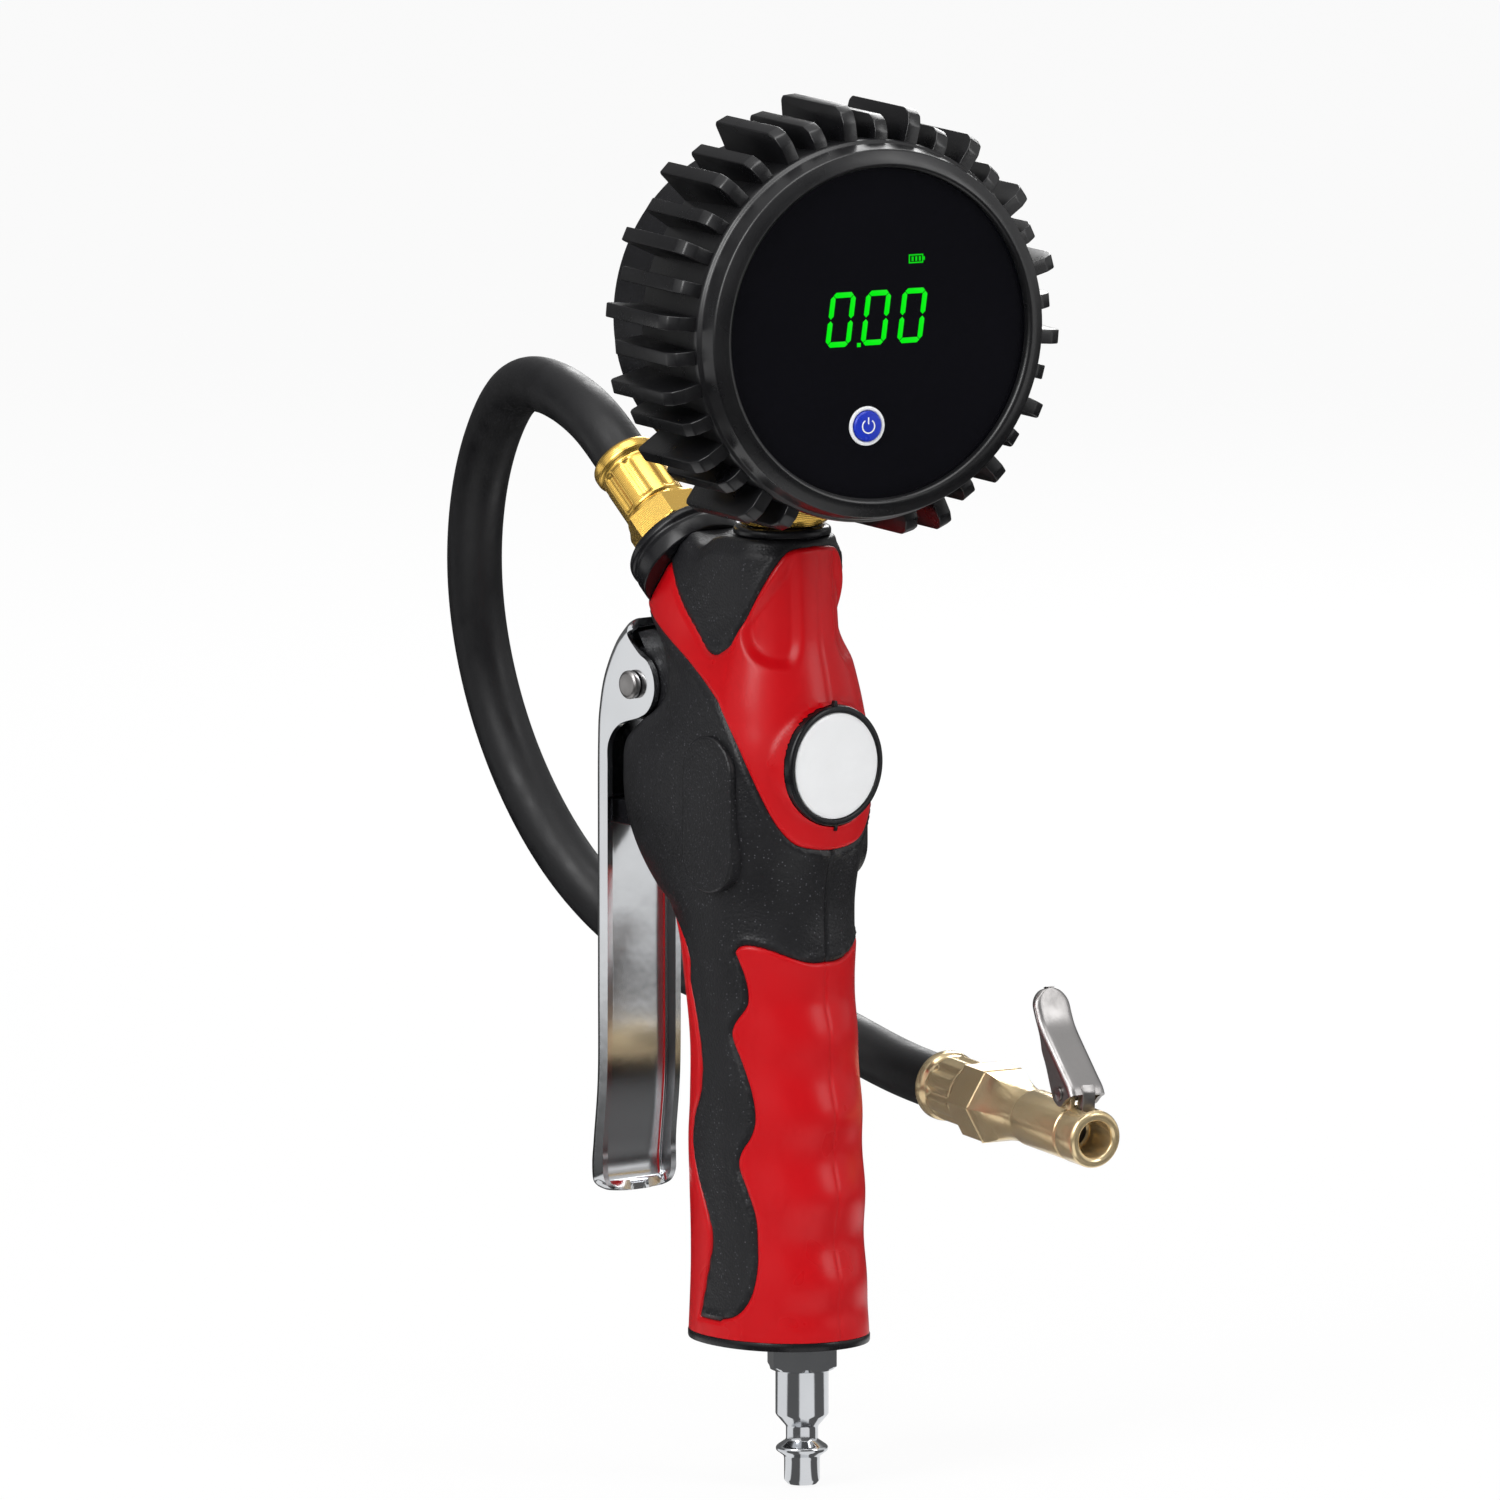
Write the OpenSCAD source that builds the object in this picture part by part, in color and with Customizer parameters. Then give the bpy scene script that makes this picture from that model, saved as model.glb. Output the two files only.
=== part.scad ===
// Tyre inflator with a digital gauge: a pistol handle with a squeeze lever, an air hose and a clip-on
// chuck.
// The origin is on the axis of the inlet plug, at the lower face of its hexagon. +Z runs up the handle,
// -Y is the side that the gauge faces, +Y is the side of the squeeze lever and the hose port.

/* [Inlet plug] */
// Radius of the plug's shank, which a quick coupler takes
plug_shank_r = 5.95; // [5:0.05:6.5]
// Length of the shank below the hexagon
plug_shank_l = 10.6; // [8:0.1:14]
// Radius of the locking groove
plug_groove_r = 3.6; // [3.4:0.1:4.4]
// Radius of the nose
plug_nose_r = 4; // [3.8:0.1:4.6]
// Length of the nose past the locking ridge
plug_nose_l = 6.5; // [4:0.5:10]
// Width of the plug's hexagon across its flats
plug_hex = 14.3; // [13:0.1:15.5]
// Height of the hexagon
plug_hex_h = 7.2; // [5:0.1:9]
// Radius of the air bore in the plug
plug_bore_r = 2.75; // [2:0.05:3.2]
// Radius of the pipe threads that go into the valve body
thread_r = 6.58; // [6:0.02:6.8]

/* [Handle] */
// Thickness of the housing's wall
wall = 2.5; // [2:0.1:2.8]
// Gap between the housing and the moulded grips on it
grip_gap = 0.3; // [0.2:0.05:0.5]
// Thickness of the moulded grips
grip_t = 1; // [0.6:0.1:1.4]
// Height of the base cap's lower face
base_z = 6; // [5:0.1:6.6]
// Thickness of the base cap's rim
base_t = 2; // [1.5:0.1:3]
// Height of the housing's top
top_z = 187; // [184:0.5:189]
// Diameter of the housing screws
screw_d = 2.6; // [2.2:0.1:3]

/* [Valve] */
// Height of the valve's axis
valve_z = 120; // [118:0.5:121]
// Outer radius of the valve chamber
chamber_r = 9.3; // [9:0.1:9.6]
// Radius of the chamber's bore
chamber_bore_r = 6; // [5.5:0.1:6.5]
// Radius of the bore that the spool runs in
sleeve_bore_r = 4.05; // [3.8:0.05:4.4]
// Radial clearance of the spool
spool_gap = 0.05; // [0.02:0.01:0.09]
// How far the plunger travels when the lever is squeezed
plunger_travel = 4; // [3:0.1:4.2]

/* [Squeeze lever] */
// Distance of the lever's pivot behind the plug's axis
pivot_y = 46.5; // [46:0.1:47]
// Height of the lever's pivot
pivot_z = 150; // [149:0.5:151]
// Radius of the pivot pin
pivot_r = 2; // [1.6:0.05:2.4]
// Radial clearance of the lever on its pin
pivot_gap = 0.05; // [0.02:0.01:0.09]
// Outer width of the lever's channel
lever_w = 21.2; // [20.8:0.1:24]
// Thickness of the lever's sheet
lever_t = 1.5; // [1.2:0.1:1.6]
// Height of the lever's lower end
lever_low_z = 33.5; // [30:0.5:40]
// Depth of the lever's side flanges
flange_d = 5; // [4:0.1:5.2]

/* [Gauge] */
// Distance of the gauge stem's axis behind the plug's axis
stem_y = 7; // [6.5:0.1:7.5]
// Height of the gauge's centre
gauge_z = 237; // [236:0.5:245]
// Turn of the gauge about its stem
gauge_turn = 12.2; // [0:0.2:20]
// Outer radius of the gauge case
case_r = 38; // [36.5:0.1:38.2]
// Thickness of the case's wall
case_t = 2.2; // [1.6:0.1:2.6]
// Distance of the case's back behind the stem's axis
case_back = 8; // [7.6:0.1:10]
// Distance of the case's front edge before the stem's axis
case_front = 43; // [42:0.5:46]
// Thickness of the lens
lens_t = 2.2; // [1.6:0.1:3]
// Thickness of the rubber boot's wall at its front
boot_t = 4.6; // [4:0.1:6]
// Height of the long fins on the boot
fin_long_h = 7.4; // [5.4:0.1:11.4]
// Height of the short fins on the boot
fin_short_h = 5.1; // [2.4:0.1:5.4]
// Thickness of a fin
fin_t = 3.2; // [2:0.1:4]
// Length of the fins along the gauge's axis
fin_l = 30.5; // [24:0.5:34]
// Width of the stem's hexagon across its flats
stem_hex = 19; // [17:0.1:20]
// Distance of the power button below the gauge's centre
button_drop = 20.5; // [16:0.5:24]
// Distance of the power button to the left of the gauge's centre
button_left = 2.4; // [0:0.1:4]
// Radius of the power button
button_r = 3.4; // [2.5:0.1:4]
// Travel of the power button
button_travel = 0.7; // [0.4:0.1:1]

/* [Badge] */
// Height of the badge's centre
badge_z = 137; // [135:0.5:139]
// Outer radius of the badge's ring
badge_r = 13.5; // [12:0.1:13.8]
// Width of the ring round the disc
badge_ring_w = 1.9; // [1.2:0.1:2.6]
// Distance of the badge's front before the plug's axis
badge_y = 12.2; // [11.6:0.1:13]
// Thickness of the badge's ring
badge_t = 6; // [5:0.1:6.2]

/* [Hose] */
// Diameter of the hose
hose_d = 12.5; // [11:0.1:13.4]
// Distance of the hose port's rim behind the plug's axis
port_y = 41; // [40:0.5:42]
// Height of the centre of the hose port's rim
port_z = 180; // [179:0.5:181]
// Tilt of the hose port's axis from the vertical
port_tilt = 50; // [48:0.5:52]
// Outer radius of the port's collar
port_collar_r = 13; // [12:0.1:13.4]
// Width of the hose fittings' hexagons across their flats
fitting_hex = 16; // [14.5:0.1:17]
// Outer radius of the crimped ferrules
ferrule_r = 7.7; // [7:0.1:8.2]
// Length of the ferrule at the hose port
gun_ferrule_l = 16.7; // [14:0.1:18]
// Length of the ferrule at the chuck
chuck_ferrule_l = 15.4; // [12:0.1:18]

/* [Chuck] */
// Radius of the mouth's bore, which goes over a tyre valve's thread
mouth_r = 4.15; // [3.95:0.05:4.4]
// Depth of the mouth's bore down to the seal
mouth_depth = 10; // [8:0.5:12]
// Outer radius of the chuck's barrel
barrel_r = 6.1; // [5.8:0.1:6.6]
// Length of the chuck from the ferrule to the mouth
chuck_l = 50.6; // [48:0.1:54]
// Radius of the clip lever's pin
clip_pin_r = 1.1; // [0.9:0.05:1.3]
// Radial clearance of the clip lever on its pin
clip_gap = 0.05; // [0.02:0.01:0.09]
// Slope of the clip lever at rest above the chuck's axis
clip_slope = 42; // [38:1:46]
// Length of the clip lever behind its pin
clip_l = 24; // [20:0.5:27]

/* [Hidden] */
$fn = 48;

// Colours of the finishes
black_plastic = "#26262a";
black_rubber = "#1b1b1d";
red_grip = "#d6101c";
brass = "#c9a25c";
steel = "#b8bbbe";
chrome = "#d8dadd";

// Clearance between pieces of the static assembly that slip together
slip = 0.2;
// Clearance of everything that moves past something else
free = 0.3;
// How far a cutting solid runs past the face that it cuts
cut = 1;

// Sections of the housing: height, centre y, depth to the front, depth to the back, half width, fullness
SECTIONS = [
    [5, 8, 20.6, 20.8, 17.2, 2.1], [20, 8, 19.6, 20.3, 16.6, 2.1], [30, 8.2, 19, 20.2, 16.4, 2.1],
    [41, 8.5, 19.6, 20.4, 16.4, 2.1], [51, 9, 19.2, 20.2, 16.4, 2.1], [60, 9.3, 19.2, 19, 16.4, 2.1],
    [73, 10, 18.6, 18.2, 16.2, 2.1], [87, 10.6, 17.6, 20, 16.4, 2.1], [96, 11.4, 19, 20.8, 16.8, 2.1],
    [102, 11.5, 18.8, 24, 17, 2.1], [106, 11.4, 18.8, 31, 17.1, 2.1], [112, 10.8, 19, 38, 17.3, 2.15],
    [118, 10, 19.6, 42.5, 17.8, 2.2], [124, 9, 19.2, 45, 18.2, 2.3], [131, 8, 18.6, 46.5, 18.3, 2.3],
    [137, 8, 18.3, 45.5, 18.2, 2.3], [142, 8, 17.8, 39.6, 17.8, 2.3], [146, 8, 17.2, 33.4, 17.4, 2.2],
    [151, 8, 16.4, 31, 16.8, 2.1], [157, 8, 15, 33, 15.4, 2.1], [163, 7.6, 13, 38.5, 13.6, 2.1],
    [169, 7.2, 12, 41.5, 12.8, 2.1], [177, 7, 11.3, 36.2, 12.4, 2.1], [188, 7, 10.9, 27, 12.2, 2.1]];

// A smooth curve through column k of a table whose rows start with the place on the curve
function slot_of(rows, v, i = 0) = i >= len(rows) - 2 || v < rows[i + 1][0] ? i : slot_of(rows, v, i + 1);
function slope(rows, i, k) =
    let (a = max(i - 1, 0), b = min(i + 1, len(rows) - 1))
    (rows[b][k] - rows[a][k]) / (rows[b][0] - rows[a][0]);
function smooth(rows, v, k = 1) =
    let (i = slot_of(rows, v), h = rows[i + 1][0] - rows[i][0], t = (v - rows[i][0]) / h)
    (2 * t ^ 3 - 3 * t ^ 2 + 1) * rows[i][k] + (t ^ 3 - 2 * t ^ 2 + t) * h * slope(rows, i, k)
    + (3 * t ^ 2 - 2 * t ^ 3) * rows[i + 1][k] + (t ^ 3 - t ^ 2) * h * slope(rows, i + 1, k);

// A point on the housing at height z. The angle runs from the front (0) over the side x > 0 (90) to the
// back (180), grow is the distance off the surface, and shrink draws the section in towards its centre.
function skin(z, angle, grow = 0, shrink = 1) =
    let (full = 2 / smooth(SECTIONS, z, 5), s = sin(angle), c = cos(angle),
        depth = smooth(SECTIONS, z, c > 0 ? 2 : 3) + grow)
    [shrink * (smooth(SECTIONS, z, 4) + grow) * sign(s) * abs(s) ^ full,
     smooth(SECTIONS, z, 1) - shrink * depth * sign(c) * abs(c) ^ full, z];

// A closed solid between two grids of points, outer and inner, of the same rows and columns. Cells where
// open[i][j] is true are left out, and ring joins the last column to the first.
module sheet(outer, inner, open = [], ring = false) {
    rows = len(outer);
    cols = len(outer[0]);
    cells_j = ring ? cols : cols - 1;
    size = rows * cols;
    function at(i, j) = i * cols + j % cols;
    function used(i, j) = i >= 0 && i < rows - 1 && (ring || (j >= 0 && j < cells_j))
        && (len(open) == 0 || !open[i][(j + cells_j) % cells_j]);
    polyhedron(concat([for (row = outer, p = row) p], [for (row = inner, p = row) p]), [
        for (i = [0:rows - 2], j = [0:cells_j - 1]) if (used(i, j)) each concat(
            [[at(i, j), at(i + 1, j), at(i + 1, j + 1)], [at(i, j), at(i + 1, j + 1), at(i, j + 1)]],
            [for (f = [[at(i, j), at(i + 1, j + 1), at(i + 1, j)],
                [at(i, j), at(i, j + 1), at(i + 1, j + 1)]])
                [for (v = f) v + size]],
            used(i - 1, j) ? [] : wall_faces(at(i, j), at(i, j + 1), size),
            used(i + 1, j) ? [] : wall_faces(at(i + 1, j + 1), at(i + 1, j), size),
            used(i, j - 1) ? [] : wall_faces(at(i + 1, j), at(i, j), size),
            used(i, j + 1) ? [] : wall_faces(at(i, j + 1), at(i + 1, j + 1), size))]);
}
function wall_faces(a, b, size) = [[a, b, b + size], [a, b + size, a + size]];

// A smooth curve drawn near a row of points, with n steps from each point to the next (cubic B-spline)
function drawn(points, n) = [for (i = [0:len(points) - 4], k = [0:i < len(points) - 4 ? n - 1 : n])
    let (t = k / n) ((1 - t) ^ 3 * points[i] + (3 * t ^ 3 - 6 * t ^ 2 + 4) * points[i + 1]
        + (1 + 3 * t + 3 * t ^ 2 - 3 * t ^ 3) * points[i + 2] + t ^ 3 * points[i + 3]) / 6];

// A round tube swept along points, with its first ring square to the first stretch
function unit(v) = v / norm(v);
function along(path, i) = unit(path[min(i + 1, len(path) - 1)] - path[max(i - 1, 0)]);
function carry(v, dir) = unit(v - (v * dir) * dir);
function sides_of(path, i, first) = i == 0 ? carry(first, along(path, 0))
    : carry(sides_of(path, i - 1, first), along(path, i));
module tube(path, r, sides, first = [1, 0, 0]) {
    last = len(path) - 1;
    points = [for (i = [0:last]) let (d = along(path, i), a = sides_of(path, i, first), b = cross(d, a))
        for (k = [0:sides - 1]) path[i] + r * (cos(360 * k / sides) * a + sin(360 * k / sides) * b)];
    polyhedron(points, concat([[for (k = [0:sides - 1]) k]],
        [for (i = [0:last - 1], k = [0:sides - 1]) let (a = i * sides + k, b = i * sides + (k + 1) % sides)
            each [[a, a + sides, b + sides], [a, b + sides, b]]],
        [[for (k = [sides - 1:-1:0]) last * sides + k]]));
}

// Simple bodies of revolution and hexagons
module ring_of(r_out, r_in, z0, z1) {
    rotate_extrude() translate([r_in, z0]) square([r_out - r_in, z1 - z0]);
}
module hexagon(flats, z0, z1) {
    translate([0, 0, z0]) cylinder(d = flats / cos(30), h = z1 - z0, $fn = 6);
}
module oring(r_mid, r_wire) {
    rotate_extrude() translate([r_mid, 0]) circle(r_wire);
}

// Frames: the valve's axis along +Y, the hose port's axis, the gauge's axis and the chuck's axis as +Z
module valve_frame() { translate([0, 0, valve_z]) rotate([-90, 0, 0]) children(); }
module port_frame() { translate([0, port_y, port_z]) rotate([-port_tilt, 0, 0]) children(); }
module gauge_frame() { translate([0, stem_y, gauge_z]) rotate([90, 0, -gauge_turn]) children(); }
module chuck_frame() { translate(chuck_at) rotate([90 + chuck_pitch, 0, -chuck_yaw]) children(); }
module across(y, z) { translate([0, y, z]) rotate([0, 90, 0]) children(); }

// The plug's lengths
groove_l = 3;
ridge_l = 3.6;
cone_l = 2.2;
plug_end = plug_shank_l + cone_l + groove_l + ridge_l + plug_nose_l;
plug_thread_top = 17;

// Places along the air way
seal_t = 1.5;
body_low = plug_hex_h + seal_t;
inlet_boss_r = 8.9;
feed_y = 4;
feed_r = 6;
air_r = 3.5;
riser_r = 8;
port_tube_r = 7.4;
riser_top = top_z - 1;
thread_l = 12;
chamber_front = -1;
chamber_back = 42;
port_in = -3;
fitting_seat = 4;
hex_l = 8;

// The valve's inner parts
sleeve_front = 14;
spool_r = sleeve_bore_r - spool_gap;
spool_neck = 2.4;
spool_back = chamber_back - 2;
plug_in = 8;
spool_front = chamber_front + plug_in + plunger_travel + 1;
plunger_r = 2.5;
pad_w = 14;
pad_h = 5.6;
pad_round = 6;
lever_in_y = pivot_y + 12.5;
pad_tip = lever_in_y - free;

// The hose port's ferrule, the chuck's place, pitch and yaw, and the hose's route between them
ferrule_end = fitting_seat + hex_l + gun_ferrule_l;
port_dir = [0, sin(port_tilt), cos(port_tilt)];
chuck_at = [65, 29, 54.5];
chuck_pitch = 3.5;
chuck_yaw = 8.5;
chuck_dir = [-sin(chuck_yaw) * cos(chuck_pitch), -cos(chuck_yaw) * cos(chuck_pitch), -sin(chuck_pitch)];
port_mouth = [0, port_y, port_z] + ferrule_end * port_dir;
hose_start = port_mouth + 2 * port_dir;
hose_end = chuck_at - 2 * chuck_dir;
ROUTE = concat([port_mouth], drawn(concat(
    [hose_start - 12 * port_dir, hose_start, hose_start + 12 * port_dir],
    [[3, 92, 212], [11, 113, 210], [21, 133, 200], [31, 153, 182], [37, 163, 157], [41, 161, 130],
    [42, 147, 106], [45, 128, 86], [51, 103, 73], [60, 75, 67]],
    [hose_end - 20 * chuck_dir, hose_end, hose_end + 20 * chuck_dir]), 3), [chuck_at]);

// The lever's side outline: height and outer y, from the top over the web to the lower end
LEVER_WEB = [[164.6, 47.2], [163.6, 49.6], [161, 52.6], [155, 56.3], [149, 58.8], [142, 60.2], [134, 60.5],
    [60, 60.5], [46, 62], [38, 62.6], [lever_low_z + 1, 61.2], [lever_low_z, 58]];
ear_r = 7.5;
lug_w = 8.6;
lug_in = 5;
lug_r = 7.2;
lug_cover_r = 8.2;

// The boot's and the fins' outer radii
boot_r = case_r + boot_t;
fin_long_r = boot_r + fin_long_h;
fin_short_r = boot_r + fin_short_h;

// The gauge's inner places along its axis
boot_back = case_front - 2 - fin_l;
board_at = 33;
board_t = 1.6;
lens_at = case_front;
face_at = lens_at + lens_t;

// The housing's screws: y and z
SCREWS = [[14, 50], [15.5, 88], [26, 104], [30, 136], [24, 181]];
boss_r = 3.2;
head_r = 2.6;

// The chuck's places along its axis
hex_end = 12.4;
bell_end = 26;
mouth_at = chuck_ferrule_l + chuck_l;
clip_at = mouth_at - 9;
clip_up = barrel_r + 3;
clip_w = 9.4;
clip_t = 1.1;
claw_at = mouth_at - 4.6;
claw_swing = 2;
// How far the claw stays off the mouth's wall
claw_short = 0.35;
seal_l = 4;
seal_pocket_r = mouth_r + 0.6;
ear_w = 6;

module inlet_plug() {
    color(chrome) difference() {
        union() {
            rotate_extrude() polygon([[0, 0], [plug_shank_r, 0],
                [plug_shank_r, -plug_shank_l + 0.5], [plug_groove_r, -plug_shank_l - cone_l],
                [plug_groove_r, -plug_shank_l - cone_l - groove_l],
                [plug_shank_r - 0.1, -plug_end + plug_nose_l + 2],
                    [plug_shank_r - 0.1, -plug_end + plug_nose_l + 1.2],
                [plug_nose_r, -plug_end + plug_nose_l], [plug_nose_r, -plug_end + 0.8],
                [plug_nose_r - 0.8, -plug_end], [0, -plug_end]]);
            intersection() {
                hexagon(plug_hex, 0, plug_hex_h);
                rotate_extrude() polygon([[0, 0], [plug_hex / 2, 0], [plug_hex / 2 + 1.3, 1],
                    [plug_hex / 2 + 1.3, plug_hex_h - 1], [plug_hex / 2, plug_hex_h], [0, plug_hex_h]]);
            }
            translate([0, 0, plug_hex_h - cut]) cylinder(r = thread_r,
                h = plug_thread_top - plug_hex_h + cut);
        }
        translate([0, 0, -plug_end - cut]) cylinder(r = plug_bore_r,
            h = plug_end + plug_thread_top + 2 * cut);
    }
}

module inlet_seal() {
    color(black_rubber) ring_of(inlet_boss_r - 0.8, thread_r + slip, plug_hex_h, body_low);
}

module inlet_strainer() {
    color(steel) translate([0, 0, plug_thread_top]) difference() {
        union() {
            cylinder(r = air_r + 0.4, h = 0.8);
            cylinder(r1 = air_r - 0.3, r2 = 1.2, h = 6);
        }
        for (a = [0:45:315]) rotate(a) translate([2.1, 0, -cut]) cylinder(r = 0.5, h = 9, $fn = 16);
    }
}

module base_cap() {
    color(black_plastic) difference() {
        union() {
            sheet(cap_rows(base_z, grip_gap + grip_t), cap_core(base_z), ring = true);
            sheet(cap_rows(base_z + base_t - 0.2, -wall - 3 * slip, 4),
                cap_core(base_z + base_t - 0.2, 4), ring = true);
        }
        translate([0, 0, base_z - cut]) cylinder(r = inlet_boss_r + slip, h = 12);
    }
}
// Outlines for the base cap: a disc of the handle's lowest section, from height z, cut open in the middle
cap_steps = 72;
function cap_rows(z, grow, h = base_t) = [for (k = [0, 1]) [for (j = [0:cap_steps - 1])
    let (p = skin(base_z, 360 * j / cap_steps, grow)) [p[0], p[1], z + h * k]]];
function cap_core(z, h = base_t) = [for (k = [0, 1]) [for (j = [0:cap_steps - 1])
    let (a = 360 * j / cap_steps) [7 * sin(a), -7 * cos(a), z + h * k]]];

module valve_body() {
    color("#8f9296") difference() {
        union() {
            translate([0, 0, body_low]) cylinder(r = inlet_boss_r, h = 13);
            translate([0, feed_y, body_low + 10]) cylinder(r = feed_r, h = valve_z - body_low - 10);
            valve_frame() translate([0, 0, chamber_front])
                cylinder(r = chamber_r, h = chamber_back - chamber_front);
            translate([0, stem_y, valve_z]) cylinder(r = riser_r, h = riser_top - valve_z);
            port_frame() translate([0, 0, port_in - 40]) cylinder(r = port_tube_r, h = 40);
            across(0, 0) translate([0, 0, -lug_in]) linear_extrude(2 * lug_in) lug(0);
        }
        translate([0, 0, body_low - cut]) cylinder(r = thread_r, h = plug_thread_top - body_low + cut);
        translate([0, 0, body_low]) cylinder(r = air_r + 0.5, h = 20);
        translate([0, feed_y, body_low + 14]) cylinder(r = air_r, h = valve_z - body_low - 14);
        valve_frame() translate([0, 0, chamber_front - cut])
            cylinder(r = chamber_bore_r, h = chamber_back - chamber_front + 2 * cut);
        valve_frame() translate([0, 0, chamber_front - 4]) cylinder(r = chamber_r, h = 4);
        valve_frame() translate([0, 0, chamber_front - cut])
            cylinder(r = chamber_bore_r + 2, h = cut + seal_t);
        translate([0, stem_y, valve_z]) cylinder(r = air_r, h = riser_top - valve_z);
        translate([0, stem_y, riser_top - thread_l]) cylinder(r = thread_r, h = thread_l + cut);
        port_frame() translate([0, 0, port_in - 42]) cylinder(r = air_r, h = 42);
        port_frame() translate([0, 0, port_in - thread_l]) cylinder(r = thread_r, h = thread_l + cut);
        across(pivot_y, pivot_z) translate([0, 0, -lug_w - cut])
            cylinder(r = pivot_r, h = 2 * (lug_w + cut));
    }
}

// The side outline of the body's lug for the lever's pivot, drawn grown by a clearance
module lug(grow) {
    translate([-pivot_z, pivot_y]) circle(lug_r + grow);
    translate([-pivot_z - lug_r - grow, stem_y]) square([2 * (lug_r + grow), pivot_y - stem_y]);
}

// One half of the housing: the shell, its roof, its screw bosses and its openings
shell_angles = 22;
SHELL_Z = [base_z + base_t + slip, 14, 20, 26, 32, 38, 44, 50, 56, 62, 68, 74, 80, 86, 91, 96, 100, 103,
    106, 109, 112, 116, 120, 124, 128, 132, 136, 139, 142, 144, 146, 149, 152, 156, 160, 164, 168, 172,
    177, 182, top_z];
function shell_rows(grow, drop) = concat(
    [for (z = SHELL_Z) [for (j = [0:shell_angles])
        skin(min(z, top_z - drop), 180 * j / shell_angles, grow)]],
    [for (s = [0.8, 0.5, 0.05]) [for (j = [0:shell_angles])
        skin(top_z - drop, 180 * j / shell_angles, grow, s)]]);
module shell_half() {
    sheet(shell_rows(0, 0), shell_rows(-wall, wall));
}
module housing_cuts() {
    valve_frame() translate([0, 0, 30]) linear_extrude(40)
        square([pad_w + 2 * free, pad_h + 2 * free], center = true);
    across(0, 0) translate([0, 0, -lug_in - slip]) linear_extrude(2 * (lug_in + slip)) lug(slip);
    across(pivot_y, pivot_z) translate([0, 0, -lug_w - cut]) cylinder(r = pivot_r, h = 2 * (lug_w + cut));
    translate([0, stem_y, top_z - 10]) cylinder(r = riser_r + slip, h = 20);
    translate([0, stem_y, top_z - 2]) cylinder(r = gauge_collar_r + slip, h = 20);
    port_frame() translate([0, 0, -30]) cylinder(r = port_tube_r + slip, h = 60);
    port_frame() translate([0, 0, -4.8 - slip]) cylinder(r = port_collar_r + slip, h = 60);
    translate([0, 0, badge_z]) rotate([90, 0, 0]) translate([0, 0, 2]) cylinder(r = badge_r + slip, h = 30);
}
gauge_collar_r = 10;
// The housing's cheek over the body's lug, beside the lever's ear
module pivot_cheek() {
    across(0, 0) translate([0, 0, lug_in]) linear_extrude(lug_w - lug_in) union() {
        translate([-pivot_z, pivot_y]) circle(lug_cover_r);
        polygon(swap([[142, 24], [142, pivot_y], [158, 49.5], [161.6, 47.4], [162.4, 44], [162.4, 24]]));
    }
}
module oval_pad() {
    translate([16.4, 9.4, 0]) rotate([90, 0, 90]) linear_extrude(3.7) union() {
        for (z = [116.5, 134.5]) translate([0, z]) circle(8.6);
        translate([-8.6, 116.5]) square([17.2, 18]);
    }
}
module housing_right() {
    color(black_plastic) difference() {
        union() {
            shell_half();
            oval_pad();
            pivot_cheek();
            for (s = SCREWS) across(s[0], s[1]) cylinder(r = boss_r, h = boss_top(s));
        }
        housing_cuts();
        for (s = SCREWS) across(s[0], s[1]) {
            translate([0, 0, -cut]) cylinder(d = screw_d + 2 * slip, h = 30, $fn = 24);
            translate([0, 0, boss_top(s) - 1.2]) cylinder(r = head_r + slip, h = 12, $fn = 24);
        }
    }
}
module housing_left() {
    color(black_plastic) difference() {
        union() {
            mirror([1, 0, 0]) shell_half();
            mirror([1, 0, 0]) oval_pad();
            mirror([1, 0, 0]) pivot_cheek();
            for (s = SCREWS) mirror([1, 0, 0]) across(s[0], s[1]) cylinder(r = boss_r, h = boss_top(s));
        }
        housing_cuts();
        for (s = SCREWS) mirror([1, 0, 0]) across(s[0], s[1]) translate([0, 0, -cut])
            cylinder(d = screw_d, h = boss_top(s) - 1, $fn = 24);
    }
}
// How far a boss reaches from the parting plane: into the wall at its height
function half_at(y, z) = let (c = smooth(SECTIONS, z, 1), d = smooth(SECTIONS, z, y < c ? 2 : 3))
    smooth(SECTIONS, z, 4) * (1 - (abs(y - c) / d) ^ smooth(SECTIONS, z, 5)) ^ (1 / smooth(SECTIONS, z, 5));
function boss_top(s) = half_at(s[0], s[1]) - 1;

module housing_screws() {
    color(steel) for (s = SCREWS) across(s[0], s[1]) union() {
        translate([0, 0, -boss_top(s) + 3.5]) cylinder(d = screw_d, h = 2 * boss_top(s) - 4.2, $fn = 24);
        translate([0, 0, boss_top(s) - 1.2]) cylinder(r = head_r, h = 1.6, $fn = 24);
    }
}

// Edges of the red grips: angle round the handle from the front, and height
UPPER_LOW = [[0, 118], [14, 118.5], [28, 120], [40, 124], [52, 130], [66, 138.5], [82, 147], [97, 153.5],
    [112, 158], [128, 161.5], [146, 165], [158, 167.5]];
UPPER_HIGH = [[0, 185.5], [30, 184.5], [45, 181], [58, 176.5], [72, 171], [86, 165.5], [95, 160.8],
    [101, 161.5], [110, 166.5], [120, 171.5], [132, 176], [143, 178.5], [150, 176.5], [158, 171]];
upper_steps = 26;
function upper_rows(grow) = [for (k = [0:10]) [for (j = [-upper_steps:upper_steps])
    let (a = 158 * j / upper_steps, lo = smooth(UPPER_LOW, abs(a)), hi = smooth(UPPER_HIGH, abs(a)))
    skin(lo + (hi - lo) * k / 10, a, grow)]];
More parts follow.
